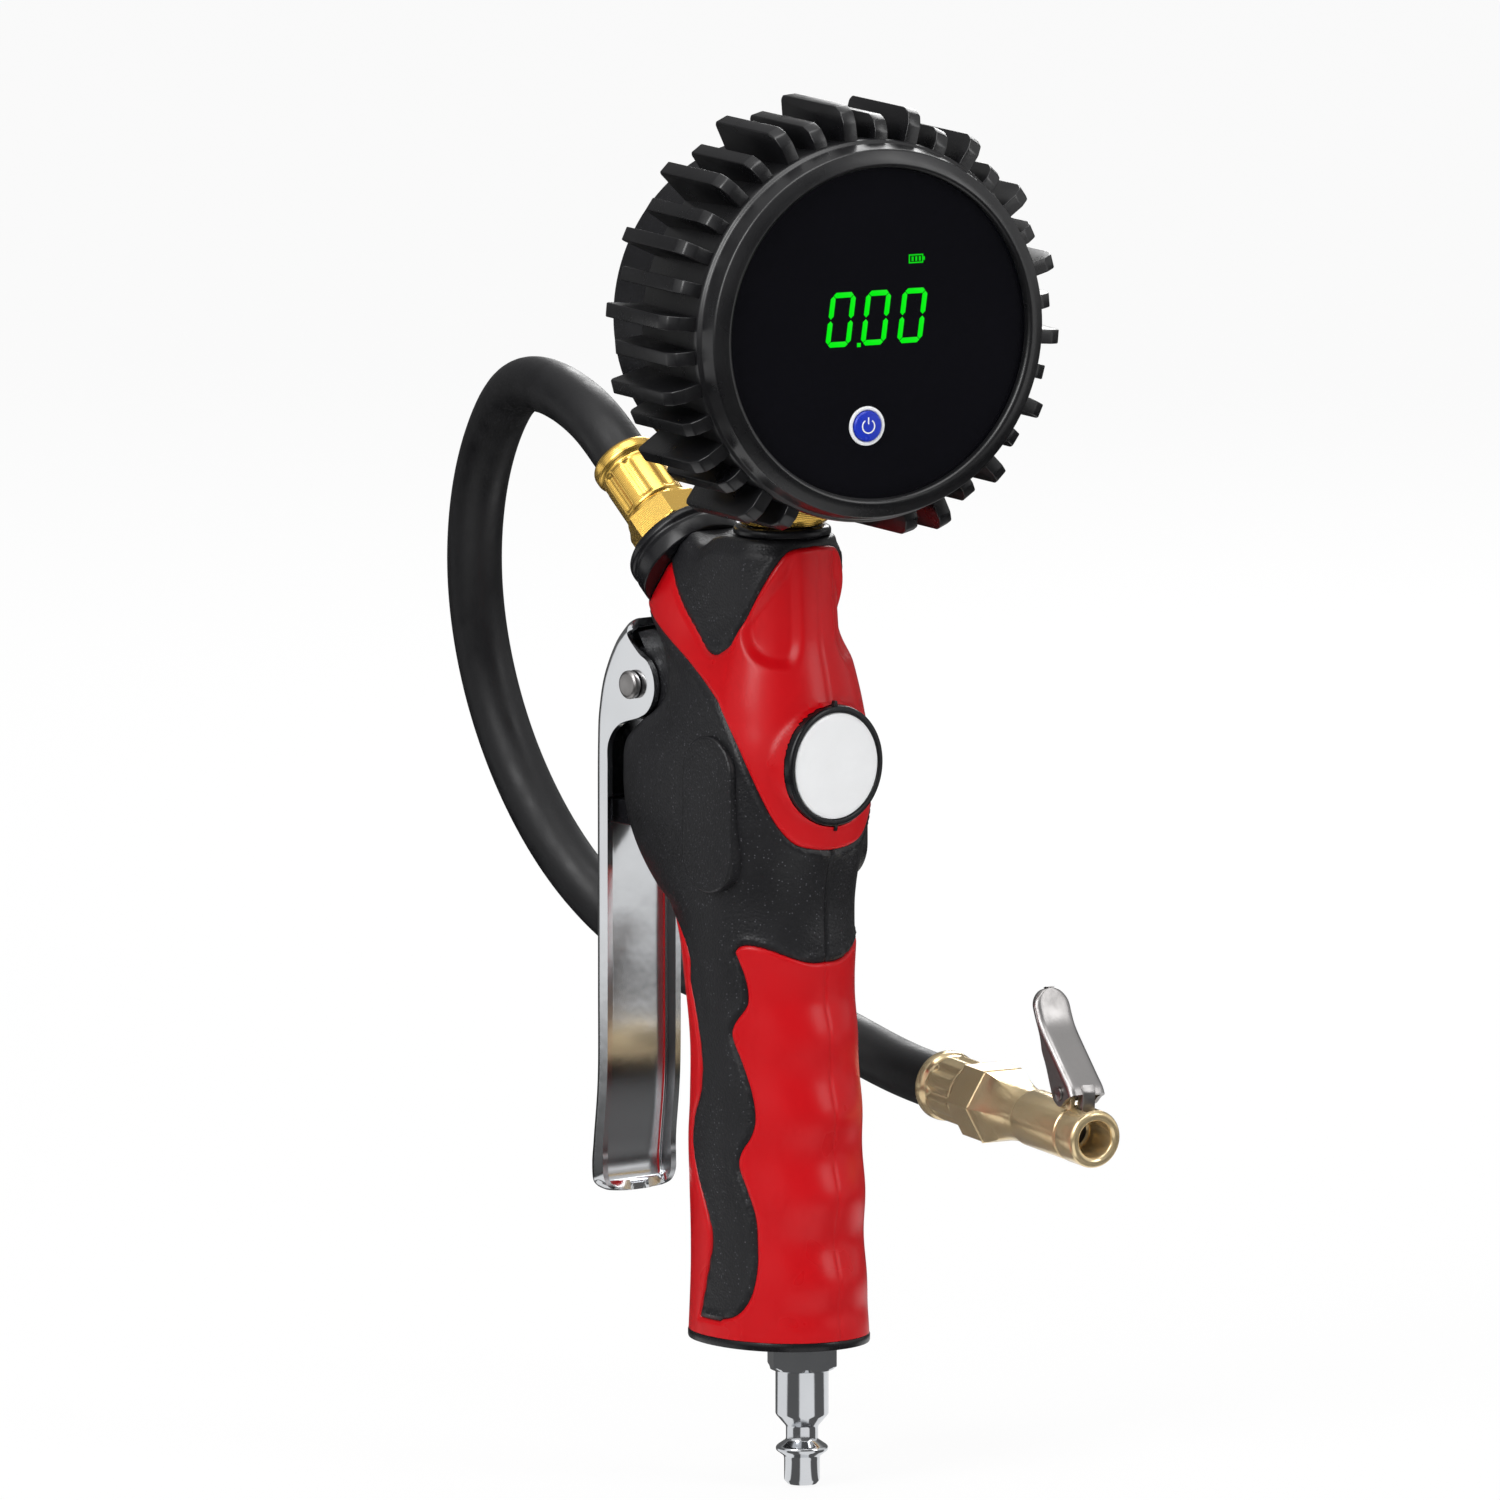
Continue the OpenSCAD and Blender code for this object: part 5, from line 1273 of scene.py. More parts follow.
    def skin(self, z: Points, angle: Points, grow: Points | float = 0.0, shrink: Points | float = 1.0) -> Points:
        """Points on the handle's surface.

        The section at a height is a superellipse: x is the half width times sin to the power 2 / fullness,
        y the depth to the front or back times cos to that power. The angle runs from the front (0) over
        x > 0 (90) to the back (180). Round the badge a boss rises to a plane, with a fillet that falls as
        1 - exp(-distance / boss_fillet), joined to the section by the soft minimum, -r log of the sum of
        exp(-y / r). Finger bumps are a cosine along the front, and behind the gauge's stem the top dips in a
        saddle, a Gaussian of y.

        Args:
            z: Heights.
            angle: Angles in degrees.
            grow: Distance off the surface.
            shrink: Share by which the section is drawn in.

        Returns:
            Points in the shape of z with a last axis of 3.
        """
        s, c = np.sin(np.radians(angle)), np.cos(np.radians(angle))
        power = 2 / smooth(self.sections, z, 5)
        depth = np.where(c > 0, smooth(self.sections, z, 2), smooth(self.sections, z, 3)) + grow
        x = shrink * (smooth(self.sections, z, 4) + grow) * np.sign(s) * np.abs(s) ** power
        y = smooth(self.sections, z, 1) - shrink * depth * np.sign(c) * np.abs(c) ** power
        away = np.hypot(x, z - self.badge_z)
        past = np.maximum(away - self.boss_r, 0)
        fall = self.boss_fall * (1 - np.exp(-past / self.boss_fillet)) + self.boss_slope * past
        boss = -self.boss_back - grow + fall
        lower = -self.boss_blend * np.logaddexp(-y / self.boss_blend, -boss / self.boss_blend)
        y = np.where((y < self.boss_front) & (away < self.boss_reach) & (shrink == 1.0), lower, y)
        a = np.abs((np.asarray(angle, float) + 180) % 360 - 180)
        wave = np.cos(2 * np.pi * (z - self.bump_first) / self.bump_pitch) * np.exp(-((a / self.bump_wide) ** 2))
        y = y - self.bump * wave * step(z, *self.bump_start) * (1 - step(z, *self.bump_stop))
        scale = 1 - self.scoop_depth * step(self.scoop_distance(z, a), *self.scoop_rise)
        centre = smooth(self.sections, z, 1)
        y = centre + (y - centre) * scale
        dip = self.saddle * np.exp(-(((y - self.saddle_y) / self.saddle_wide) ** 2))
        return np.stack([x * scale, y, z - dip * step(z, *self.saddle_rise)], axis=-1)

    def scoop_distance(self, z: Points, angle: Points) -> Points:
        """Distance into the drop-shaped hollow beside the front ridge, negative outside.

        The hollow is convex: the soft minimum, -r log of the sum of exp(-distance / r), of the distances
        from its straight edges, measured on the unrolled surface, where a degree is scoop_degree long.

        Args:
            z: Heights.
            angle: Angles in degrees.

        Returns:
            The distance in millimetres.
        """
        along, corner, soft = angle * self.scoop_degree, np.asarray(self.scoop, float), self.scoop_blend
        ahead = np.roll(corner, -1, axis=0) - corner
        ahead /= np.linalg.norm(ahead, axis=1, keepdims=True)
        from_edge = [ax * (z - cz) - az * (along - cx) for (ax, az), (cx, cz) in zip(ahead, corner)]
        return -soft * np.log(np.sum(np.exp(-np.clip(from_edge, -40, 40) / soft), axis=0))

    def upper_distance(self, z: Points, angle: Points) -> Points:
        """Distance into the upper red area from its nearest edge, negative outside.

        It is the height above or below an edge over the root of 1 + slope squared, or the arc to its back end.
        A degree's arc is arc_share of the root of half width squared plus mean_depth squared, in radians.

        Args:
            z: Heights.
            angle: Angles in degrees.

        Returns:
            The distance in millimetres.
        """
        a, end = np.abs(angle), self.upper_end
        per_degree = np.radians(1) * np.hypot(smooth(self.sections, z, 4), self.mean_depth) * self.arc_share
        from_low = z - smooth(self.upper_low, np.minimum(a, end))
        from_high = smooth(self.upper_high, np.minimum(a, end)) - z
        from_low = from_low / np.hypot(1, slope_of(self.upper_low, a) / per_degree)
        from_high = from_high / np.hypot(1, slope_of(self.upper_high, a) / per_degree)
        return np.minimum(np.minimum(from_low, from_high), (end - a) * per_degree)

    def lower_distance(self, z: Points, angle: Points) -> Points:
        """Distance into the lower red area from its nearest edge, negative outside.

        The area is the union of a front part, a back part and the band below them, so the largest of their
        distances counts; where the band meets a part, it is the root of both squares.

        Args:
            z: Heights.
            angle: Angles in degrees.

        Returns:
            The distance in millimetres.
        """
        a = np.abs(angle)
        per_degree = np.radians(1) * self.lower_radius
        zc = np.clip(z, self.lower_back[0][0], self.lower_back[-1][0])
        edge = smooth(self.lower_front, np.minimum(zc, self.lower_front[-1][0]))
        front = (edge - a) * per_degree
        back = (a - smooth(self.lower_back, zc)) * per_degree
        front = front / np.hypot(1, slope_of(self.lower_front, zc) * per_degree)
        back = back / np.hypot(1, slope_of(self.lower_back, zc) * per_degree)
        side = np.maximum(np.minimum(front, self.front_top(a / edge) - z), np.minimum(back, self.back_top - z))
        band = self.band_z - z
        below = np.where(side > 0, np.hypot(side, band), band)
        return np.where(band > 0, below, np.where(side > 0, side, np.maximum(side, band)))

    def front_top(self, share: Points) -> Points:
        """Height of the lower grip's upper edge: a soft step up to a lobe, whose corner is a quarter ellipse.

        Args:
            share: Share of the way from the front seam to the strip.

        Returns:
            The heights.
        """
        corner = np.clip((share - self.lobe_start) / self.lobe_wide, 0, 1)
        drop = self.lobe_drop * (1 - np.sqrt(1 - corner**2))
        return self.front_z + self.front_rise * step(share, 0.1, 0.85) - drop

    def rim(self, distance: Points) -> Points:
        """The quarter circle of a grip's rounded rim: 0 at the edge, 1 from rim_r on."""
        t = np.clip(distance / self.rim_r, 0, 1)
        return np.sqrt(np.maximum(1 - (1 - t) ** 2, 0))

    def heights(self) -> Points:
        """Heights of the shell's rows, closer together where it bends, with the plunger slot's two edges."""
        low, high = self.slot_z
        return np.concatenate([np.linspace(self.low_z, 96, 96), np.linspace(96.7, 116.0, 28), [low],
                               np.linspace(117.7, 122.3, 7), [high], np.linspace(123.8, self.top_z - 1, 88)])

    def half(self, side: int) -> Piece:
        """Makes one half of the black housing.

        The outer sheet stands proud of the section outside the red areas, by a soft step across their edge,
        with a low lip along it, and falls into the parting line. Above the last row a roof closes it, drawn
        in by shares of the section, with a rounded rim.

        Args:
            side: 1 for x > 0, -1 for the other.

        Returns:
            The piece.
        """
        angle = np.sort(np.append(180 * crowded(76, 1.35), [self.slot_angle]))
        rows = self.heights()
        z, a = np.meshgrid(rows, angle, indexing="ij")
        inside = np.maximum(self.upper_distance(z, a), self.lower_distance(z, a))
        lip = self.lip * np.exp(-(((inside + self.lip_back) / self.lip_wide) ** 2))
        line = self.parting * np.exp(-((np.abs(self.skin(z, a)[..., 0]) / self.parting_wide) ** 2))
        grow = self.proud * (1 - step(inside, *self.proud_edge)) + lip - line
        outer = self.skin(z, a, grow * (1 - step(z, self.top_z - 4, self.top_z - 1)))
        inner = self.skin(z, a, -self.wall)
        inner[..., 2] = np.minimum(inner[..., 2], self.top_z - self.wall)
        drawn_in = np.array([0.985, 0.955, 0.91, 0.85, 0.7, 0.35, 0.04])
        rim_z = self.top_z + np.array([0.45, 0.8, 0.97, 1, 1, 1, 1]) - 1
        shrink, round_a = np.meshgrid(drawn_in, angle, indexing="ij")
        roof_z = np.repeat(rim_z[:, None], len(angle), axis=1)
        roof = self.skin(roof_z, round_a, 0.0, shrink)
        under = self.skin(np.full_like(roof_z, self.top_z - self.wall), round_a, -self.wall, shrink)
        mirror = [side, 1, 1]
        outer, inner = np.concatenate([outer, roof]) * mirror, np.concatenate([inner, under]) * mirror
        shut = np.ones((outer.shape[0] - 1, outer.shape[1] - 1), bool)
        in_z = (rows[:-1] >= self.slot_z[0] - 0.05) & (rows[1:] <= self.slot_z[1] + 0.05)
        shut[: len(rows) - 1][np.ix_(in_z, angle[:-1] >= self.slot_angle - 0.01)] = False
        name = f"housing_half_{'right' if side > 0 else 'left'}"
        piece = add_shell(Shape(), outer, inner, shut).build(name, 42)
        carve(piece, self.pads(side), "UNION")
        carve(piece, self.cuts())
        shade(piece.data, 38)
        return piece

    def pads(self, side: int) -> Shape:
        """The raised oval on the side, and the cheek over the lever's pivot.

        Args:
            side: 1 for x > 0, -1 for the other.

        Returns:
            Both slabs.
        """
        axes = Axes((0, 0, 0), (0, 0, 1), (0, 1, 0), (side, 0, 0))
        turn, r, y = np.linspace(0, np.pi, 33), 8.6, 9.4
        high = np.stack([134.5 + r * np.sin(turn), y + r * np.cos(turn)], axis=1)
        low = np.stack([116.5 - r * np.sin(turn), y - r * np.cos(turn)], axis=1)
        shape = add_slab(Shape(), axes, np.vstack([high, low]), 15.0, 20.0, 0.7)
        arc = np.radians(np.linspace(-80, 100, 33))
        round_end = np.stack([150 + 8.2 * np.sin(arc), 46.5 + 8.2 * np.cos(arc)], axis=1)
        cheek = np.vstack([round_end, [[161.6, 47.4], [162.4, 44], [162.4, 24], [142, 24], [142, 46.0]]])
        return add_slab(shape, axes, cheek, 5.0, 8.6, 0.5)

    def openings(self) -> Shape:
        """The round openings for the hose's port and for the badge."""
        shape = lathe(Shape(), PORT, [[self.port_r, -5], [self.port_r, 60]], closed=False)
        r = self.badge_r + 0.15
        return lathe(shape, facing_front((0, 0, self.badge_z)), [[r, 2], [r, 32]], closed=False)

    def cuts(self) -> Shape:
        """What the port, the gauge's collar, the badge and the metal body's necks take out of the housing."""
        shape = lathe(self.openings(), PORT, [[7.6, -30], [7.6, -4.9]], 48, False)
        lathe(shape, STEM, [[10.2, self.top_z - 2], [10.2, self.top_z + 10]], 96, False)
        return lathe(shape, STEM, [[8.2, self.top_z - 20], [8.2, self.top_z - 1.9]], 48, False)

    def over_moulding(self, z: Points, a: Points, distance: Points) -> tuple[Points, Points]:
        """The two sheets of an over-moulding, with a rounded rim and a thin seam down the front.

        Args:
            z: Heights.
            a: Angles in degrees.
            distance: Distance into it from its edge.

        Returns:
            The outer and the inner grid.
        """
        seam = np.exp(-((np.abs(self.skin(z, a)[..., 0]) / self.seam_wide) ** 2))
        line = np.where(np.abs(a) < 90, self.seam * seam, 0)
        thick = self.grip_edge + (self.grip - self.grip_edge) * self.rim(distance)
        outer = self.skin(z, a, self.gap + thick - line)
        return outer, self.skin(z, a, self.gap)

    def upper_grip(self) -> Piece:
        """Makes the upper red grip, rows between its two edges, columns round the handle.

        Returns:
            The piece.
        """
        share = crowded(90, 1.5)[:, None]
        angle = self.upper_end * (2 * crowded(211, 1.12) - 1)[None, :]
        low, high = smooth(self.upper_low, np.abs(angle)), smooth(self.upper_high, np.abs(angle))
        z = low + (high - low) * share
        a = np.broadcast_to(angle, z.shape)
        sheets = self.over_moulding(z, a, self.upper_distance(z, a))
        piece = add_shell(Shape(), *sheets).build("red_upper_grip", 50)
        carve(piece, self.openings())
        shade(piece.data, 40)
        return piece

    def lower_grip(self) -> Piece:
        """Makes the lower red grip: a band at the bottom, and above it a front and a back part beside strips.

        The columns of one side are those of the front part, of the strip and of the back part; the other side
        mirrors them.

        Returns:
            The piece.
        """
        wide, narrow = 44, 12
        band = np.linspace(8.0, self.band_z, 8)
        share = crowded(150, 1.15)[1:]
        part, strip = crowded(wide, 1.3)[None], np.linspace(0, 1, narrow + 2)[None, 1:-1]
        top = self.front_top(part)
        zf = np.concatenate([np.repeat(band[:, None], wide, 1), self.band_z + share[:, None] * (top - self.band_z)])
        zb = np.concatenate([band, self.band_z + share * (self.back_top - self.band_z)])[:, None]
        af = smooth(self.lower_front, np.clip(zf, self.lower_front[0][0], self.lower_front[-1][0]))
        ab = smooth(self.lower_back, np.maximum(zb, self.lower_back[0][0]))
        a = np.concatenate([af * part, af[:, -1:] + (ab - af[:, -1:]) * strip, ab + (180 - ab) * part], axis=1)
        z = np.concatenate([zf, np.repeat((zf[:, -1:] + zb) / 2, narrow, 1), np.repeat(zb, wide, 1)], axis=1)
        z, a = np.concatenate([z, z[:, -2:0:-1]], axis=1), np.concatenate([a, -a[:, -2:0:-1]], axis=1)
        sheets = self.over_moulding(z, a, np.maximum(self.lower_distance(z, a), 0))
        column = np.arange(a.shape[1])
        mirror = np.minimum(column, len(column) - 1 - column)
        shut = np.ones((z.shape[0] - 1, len(column)), bool)
        shut[len(band) - 1 :, (mirror >= wide - 1) & (mirror < wide + narrow)] = False
        return add_shell(Shape(), *sheets, shut, True).build("red_lower_grip", 50)

    def base_cap(self) -> Piece:
        """Makes the base cap: a rim with soft edges carried round the handle's lowest section, and a round hole.

        Returns:
            The piece.
        """
        reach, hole_r = -3.2, 9.1
        loop = soft_profile([[-9, 6.0], [1.35, 6.0], [1.35, 8.0], [reach, 8.0], [reach, 11.5], [-9, 11.5]], 0.45, 3)
        z, angle = np.meshgrid(loop[:, 1], np.linspace(0, 360, 145)[:-1], indexing="ij")
        outline = self.skin(np.full_like(z, 6.0), angle, np.maximum(loop[:, :1], reach) + 0 * z)
        hole = hole_r * np.stack([np.sin(np.radians(angle)), -np.cos(np.radians(angle)), 0 * z], axis=-1)
        grid = np.where((loop[:, 0] < -5)[:, None, None], hole, outline)
        grid[..., 2] = z
        return add_loop(Shape(), grid).build("base_cap_moulding", 50)

    def badge(self) -> tuple[Piece, Piece]:
        """Makes the black ring with its two ticks, and the bare disc, whose crown falls as the radius squared.

        Returns:
            The ring and the disc.
        """
        axes, r = facing_front((0, 0, self.badge_z)), self.badge_r
        ring = soft_profile([[r - 1.5, 10.2], [r - 1.5, 12.0], [r - 1.3, 12.2], [r - 0.4, 12.2], [r, 11.7], [r, 6.4],
                             [7.2, 6.4], [7.2, 8.3], [7.2, 10.2]], 0.3, 3)
        shape = lathe(Shape(), axes, ring, 144)
        for way in (1, -1):
            tick = np.array([[-0.55, 0], [0.55, 0], [0.3, 1.5], [-0.3, 1.5]]) * [1, way] + [0, way * (r - 0.4)]
            add_slab(shape, axes, tick, 10.6, 11.9, 0.15)
        rho = r - 1.6
        crown = [[rho * t, 12.3 - 0.2 * t**2] for t in (0.9, 0.75, 0.6, 0.45, 0.3, 0.15)]
        face = [[0.02, 10.5], [rho, 10.5], [rho, 11.7], [rho - 0.15, 11.95], [rho - 0.6, 12.08], *crown, [0.02, 12.3]]
        disc = lathe(Shape(), axes, face, 144, False)
        return shape.build("badge_bezel", 40), disc.build("badge_plate", 40)

    def build(self, finishes: Finishes) -> None:
        """Makes the handle's visible pieces.

        Args:
            finishes: The finishes.
        """
        for piece, finish, slot, node in (
            (self.half(-1), finishes.abs, "housing_plastic", "housing_left"),
            (self.half(1), finishes.abs, "housing_plastic", "housing_right"),
            (self.upper_grip(), finishes.grip, "red_grip", "upper_grip"),
            (self.lower_grip(), finishes.grip, "red_grip", "lower_grip"),
            (self.base_cap(), finishes.smooth_abs, "housing_plastic", "base_cap"),
        ):
            place(piece, finish, Body.ROOT, slot, node)
        ring, disc = self.badge()
        place(ring, finishes.smooth_abs, Body.ROOT, "housing_plastic", "badge_ring")
        place(disc, finishes.badge, Body.ROOT, "badge_silver", "badge_disc")


# ---------------------------------------------------------------- the lever, the fittings and the gauge


@dataclass
class SqueezeLever:
    """The chromed squeeze lever, its pin and clip, and the plunger pad that it presses, in millimetres.

    The pivot is given as (height, y), the plunger's tip as its y.
    """

    pivot: tuple[float, float] = (150.0, 46.5)
    width: float = 21.2
    sheet: float = 1.5
    corner: float = 2.4
    ear: float = 7.5
    edge_round: float = 0.3
    ring_r: float = 2.75
    ring_x: float = 11.3
    plunger_z: float = 120.0
    plunger_tip: float = 58.7
    tip_round: float = 6.0
    plunger_half: float = 2.8

    def channel(self) -> Channel:
        """The lever's bent sheet: its web and the free edge of its flanges, in pairs of (height, y) from below.

        Returns:
            The channel.
        """
        web = [[33.6, 57.6], [33.9, 60.2], [35.6, 62.1], [40, 62.6], [46, 62.0], [60, 60.6], [80, 60.5],
               [100, 60.5], [120, 60.5], [130, 60.5], [136, 60.4], [141, 60.2], [145, 59.6], [148, 59.0],
               [151, 58.1], [154, 56.8], [157, 55.2], [160, 53.2], [162.4, 50.9], [163.8, 49.3], [164.6, 47.6]]
        turn = np.radians([18, 48, 80, 110, 138, 165])
        height, y = self.pivot
        ear = np.stack([height - self.ear * np.cos(turn), y - self.ear * np.sin(turn)], axis=1).tolist()
        edge = [[33.9, 57.0], [35.2, 57.0], [37.4, 57.1], [41, 57.2], [46, 57.1], [60, 55.7], [80, 55.5],
                [100, 55.5], [120, 55.5], [130, 55.5], [136, 55.2], [140.4, 51.5], *ear, [160.6, 48.3],
                [162.6, 48.2], [163.4, 47.2]]
        return Channel(web, edge, self.width, self.sheet, self.corner, end_round=(6.5, 0), rows=230)

    def pin(self) -> tuple[Piece, Piece]:
        """Makes the headed pin, and its retaining ring, a flat wire carried round an open circle.

        Returns:
            The pin and the ring.
        """
        height, y = self.pivot
        head = [[0.02, -12.5], [2.6, -12.5], [3.2, -12.0], [3.2, -10.9], [2, -10.9], [2, 10.9], [1.5, 10.9],
                [1.5, 11.7], [2, 11.7], [2, 12.6], [1.7, 12.9], [0.02, 12.9]]
        axes = Axes((0, y, height), ACROSS.x, ACROSS.y, ACROSS.z)
        pin = lathe(Shape(), axes, soft_profile(head, 0.25, 3, False), 60, False).build("lever_pin", 35)
        turn = np.radians(np.linspace(25, 335, 80))
        out = np.stack([0 * turn, np.sin(turn), -np.cos(turn)], axis=1)
        ring = np.array([self.ring_x, y, height]) + self.ring_r * out
        wire = np.array([[-1.2, -0.4], [1.2, -0.4], [1.2, 0.4], [-1.2, 0.4]])
        grid = ring[:, None] + wire[None, :, :1] * out[:, None] + wire[None, :, 1:] * np.array([1.0, 0, 0])
        return pin, add_capped(Shape(), grid).build("pin_ring", 40)

    def plunger(self) -> Piece:
        """Makes the black pad with its rounded tip, and the stem behind it.

        Returns:
            The piece.
        """
        a, half = np.radians(np.linspace(-27, 27, 15)), self.plunger_half
        y = self.plunger_tip - self.tip_round + self.tip_round * np.cos(a)
        nose = np.stack([y, self.tip_round * np.sin(a)], axis=1)
        outline = np.vstack([[[49, -half], [53, -half]], nose, [[53, half], [49, half]]])
        origin = (0, 0, self.plunger_z)
        shape = add_slab(Shape(), Axes(origin, (0, 1, 0), (0, 0, 1), (1, 0, 0)), outline, -7, 7, 0.4)
        stem = Axes(origin, (1, 0, 0), (0, 0, -1), (0, 1, 0))
        lathe(shape, stem, [[0.02, 40.0], [2.5, 40.0], [2.5, 50], [0.02, 50]], 32, False)
        return shape.build("plunger_pad", 40)

    def build(self, finishes: Finishes) -> None:
        """Makes the lever group's pieces.

        Args:
            finishes: The finishes.
        """
        lever = self.channel().add(Shape(), ACROSS).build("lever_channel", 30)
        bevel = lever.modifiers.new("edges", "BEVEL")
        bevel.width, bevel.segments = self.edge_round * MM, 2
        bevel.limit_method, bevel.angle_limit = "ANGLE", math.radians(50)
        place(lever, finishes.chrome, Body.LEVER, "lever_chrome", "trigger_lever")
        pin, ring = self.pin()
        place(pin, finishes.nickel, Body.ROOT, "bare_steel", "trigger_pivot_pin")
        place(ring, finishes.zinc, Body.ROOT, "bare_steel", "pivot_clip")
        place(self.plunger(), finishes.smooth_abs, Body.VALVE, "housing_plastic", "valve_plunger")


@dataclass
class Fittings:
    """The inlet plug, the port collars, the gauge's stem and the hose port's brass, in millimetres."""

    plug_hex: float = 14.3
    stem_hex: float = 19.0
    port_hex: float = 16.0
    nipple_end: float = 12.0
    ferrule: float = 16.7

    def plug(self) -> Piece:
        """Makes the inlet plug: a plain round stub above where the threads go, hexagon, shank, locking groove, ridge
        and nose.

        Returns:
            The piece.
        """
        h = self.plug_hex / 2
        profile = [[2.75, 17], [6.5, 17], [6.5, 7.2], [h - 0.25, 7.2], [h + 1.25, 6.1], [h + 1.25, 1.1],
                   [h - 0.25, 0], [5.95, -0.05], [5.95, -9.9], [5.75, -10.3], [3.6, -12.8], [3.6, -15.8],
                   [5.5, -17.1], [5.85, -17.5], [5.85, -18.2], [4.1, -19.5], [4.0, -20.2], [4.0, -25.0],
                   [3.2, -25.9], [2.75, -25.9]]
        plug = lathe(Shape(), WORLD, soft_profile(profile, 0.3, 3), flats=self.plug_hex, hex_rows=(-0.5, 7.3))
        return plug.build("inlet_nipple", 38)

    def collars(self) -> tuple[Piece, Piece]:
        """Makes the two black collars.

        Returns:
            The one round the hose's port and the one round the gauge's.
        """
        port = [[7.7, -4.8], [13, -4.8], [13, -1.1], [12.6, -0.4], [12.6, 0.2], [13, 0.9], [12.9, 2.2], [12.2, 2.9],
                [11.4, 2.9], [10.6, 1.9], [7.7, 0.9]]
        top = [[8.3, 185], [10, 185], [10, 187.2], [10.9, 187.3], [10.9, 188.6], [10.2, 189.2], [8.3, 189.2]]
        first = lathe(Shape(), PORT, soft_profile(port, 0.4), 120).build("port_collar_moulding", 45)
        return first, lathe(Shape(), STEM, soft_profile(top, 0.3, 3), 120).build("stem_collar_moulding", 45)

    def stem(self) -> Piece:
        """Makes the gauge's brass stem with its chamfered hexagon.

        Returns:
            The piece.
        """
        h = self.stem_hex / 2
        profile = [[2.1, 175], [6.5, 175], [6.5, 189.5], [h - 0.4, 189.5], [h + 1.6, 190.9], [h + 1.6, 196.1],
                   [h - 0.4, 197.4], [5.6, 197.5], [5.0, 198.2], [5.0, 206.9], [2.1, 206.9]]
        stem = lathe(Shape(), STEM, soft_profile(profile, 0.3, 3), flats=self.stem_hex, hex_rows=(189, 198))
        return stem.build("gauge_stem_brass", 38)

    def nipple(self) -> Piece:
        """Makes the hose port's hexagon nipple.

        Returns:
            The piece.
        """
        h, end = self.port_hex / 2, self.nipple_end
        profile = [[2.1, -12], [6.5, -12], [6.5, 3.9], [h - 0.3, 4.0], [h + 1.4, 5.2], [h + 1.4, 10.8],
                   [h - 0.3, end], [3.3, end], [3.3, 26], [2.1, 26]]
        nipple = lathe(Shape(), PORT, soft_profile(profile, 0.3, 3), flats=self.port_hex, hex_rows=(3.5, 12.1))
        return nipple.build("port_nipple", 38)

    def gun_ferrule(self) -> Piece:
        """Makes the ferrule that sits on the nipple."""
        seat = Axes(PORT.at(0, 0, self.nipple_end), PORT.x, PORT.y, PORT.z)
        return Ferrule(self.ferrule).add(Shape(), seat).build("crimped_gun_ferrule", 50)

    def build(self, finishes: Finishes) -> None:
        """Makes the fittings.

        Args:
            finishes: The finishes.
        """
        plug, (port, top) = self.plug(), self.collars()
        for piece, finish, slot, node in (
            (plug, finishes.plug, "plug_steel", "inlet_plug"),
            (port, finishes.smooth_abs, "housing_plastic", "hose_port_collar"),
            (top, finishes.smooth_abs, "housing_plastic", "gauge_port_collar"),
            (self.stem(), finishes.brass, "brass_fitting", "gauge_stem"),
            (self.nipple(), finishes.brass, "brass_fitting", "hose_port_fitting"),
            (self.gun_ferrule(), finishes.brass, "brass_fitting", "gun_ferrule"),
        ):
            place(piece, finish, Body.ROOT, slot, node)


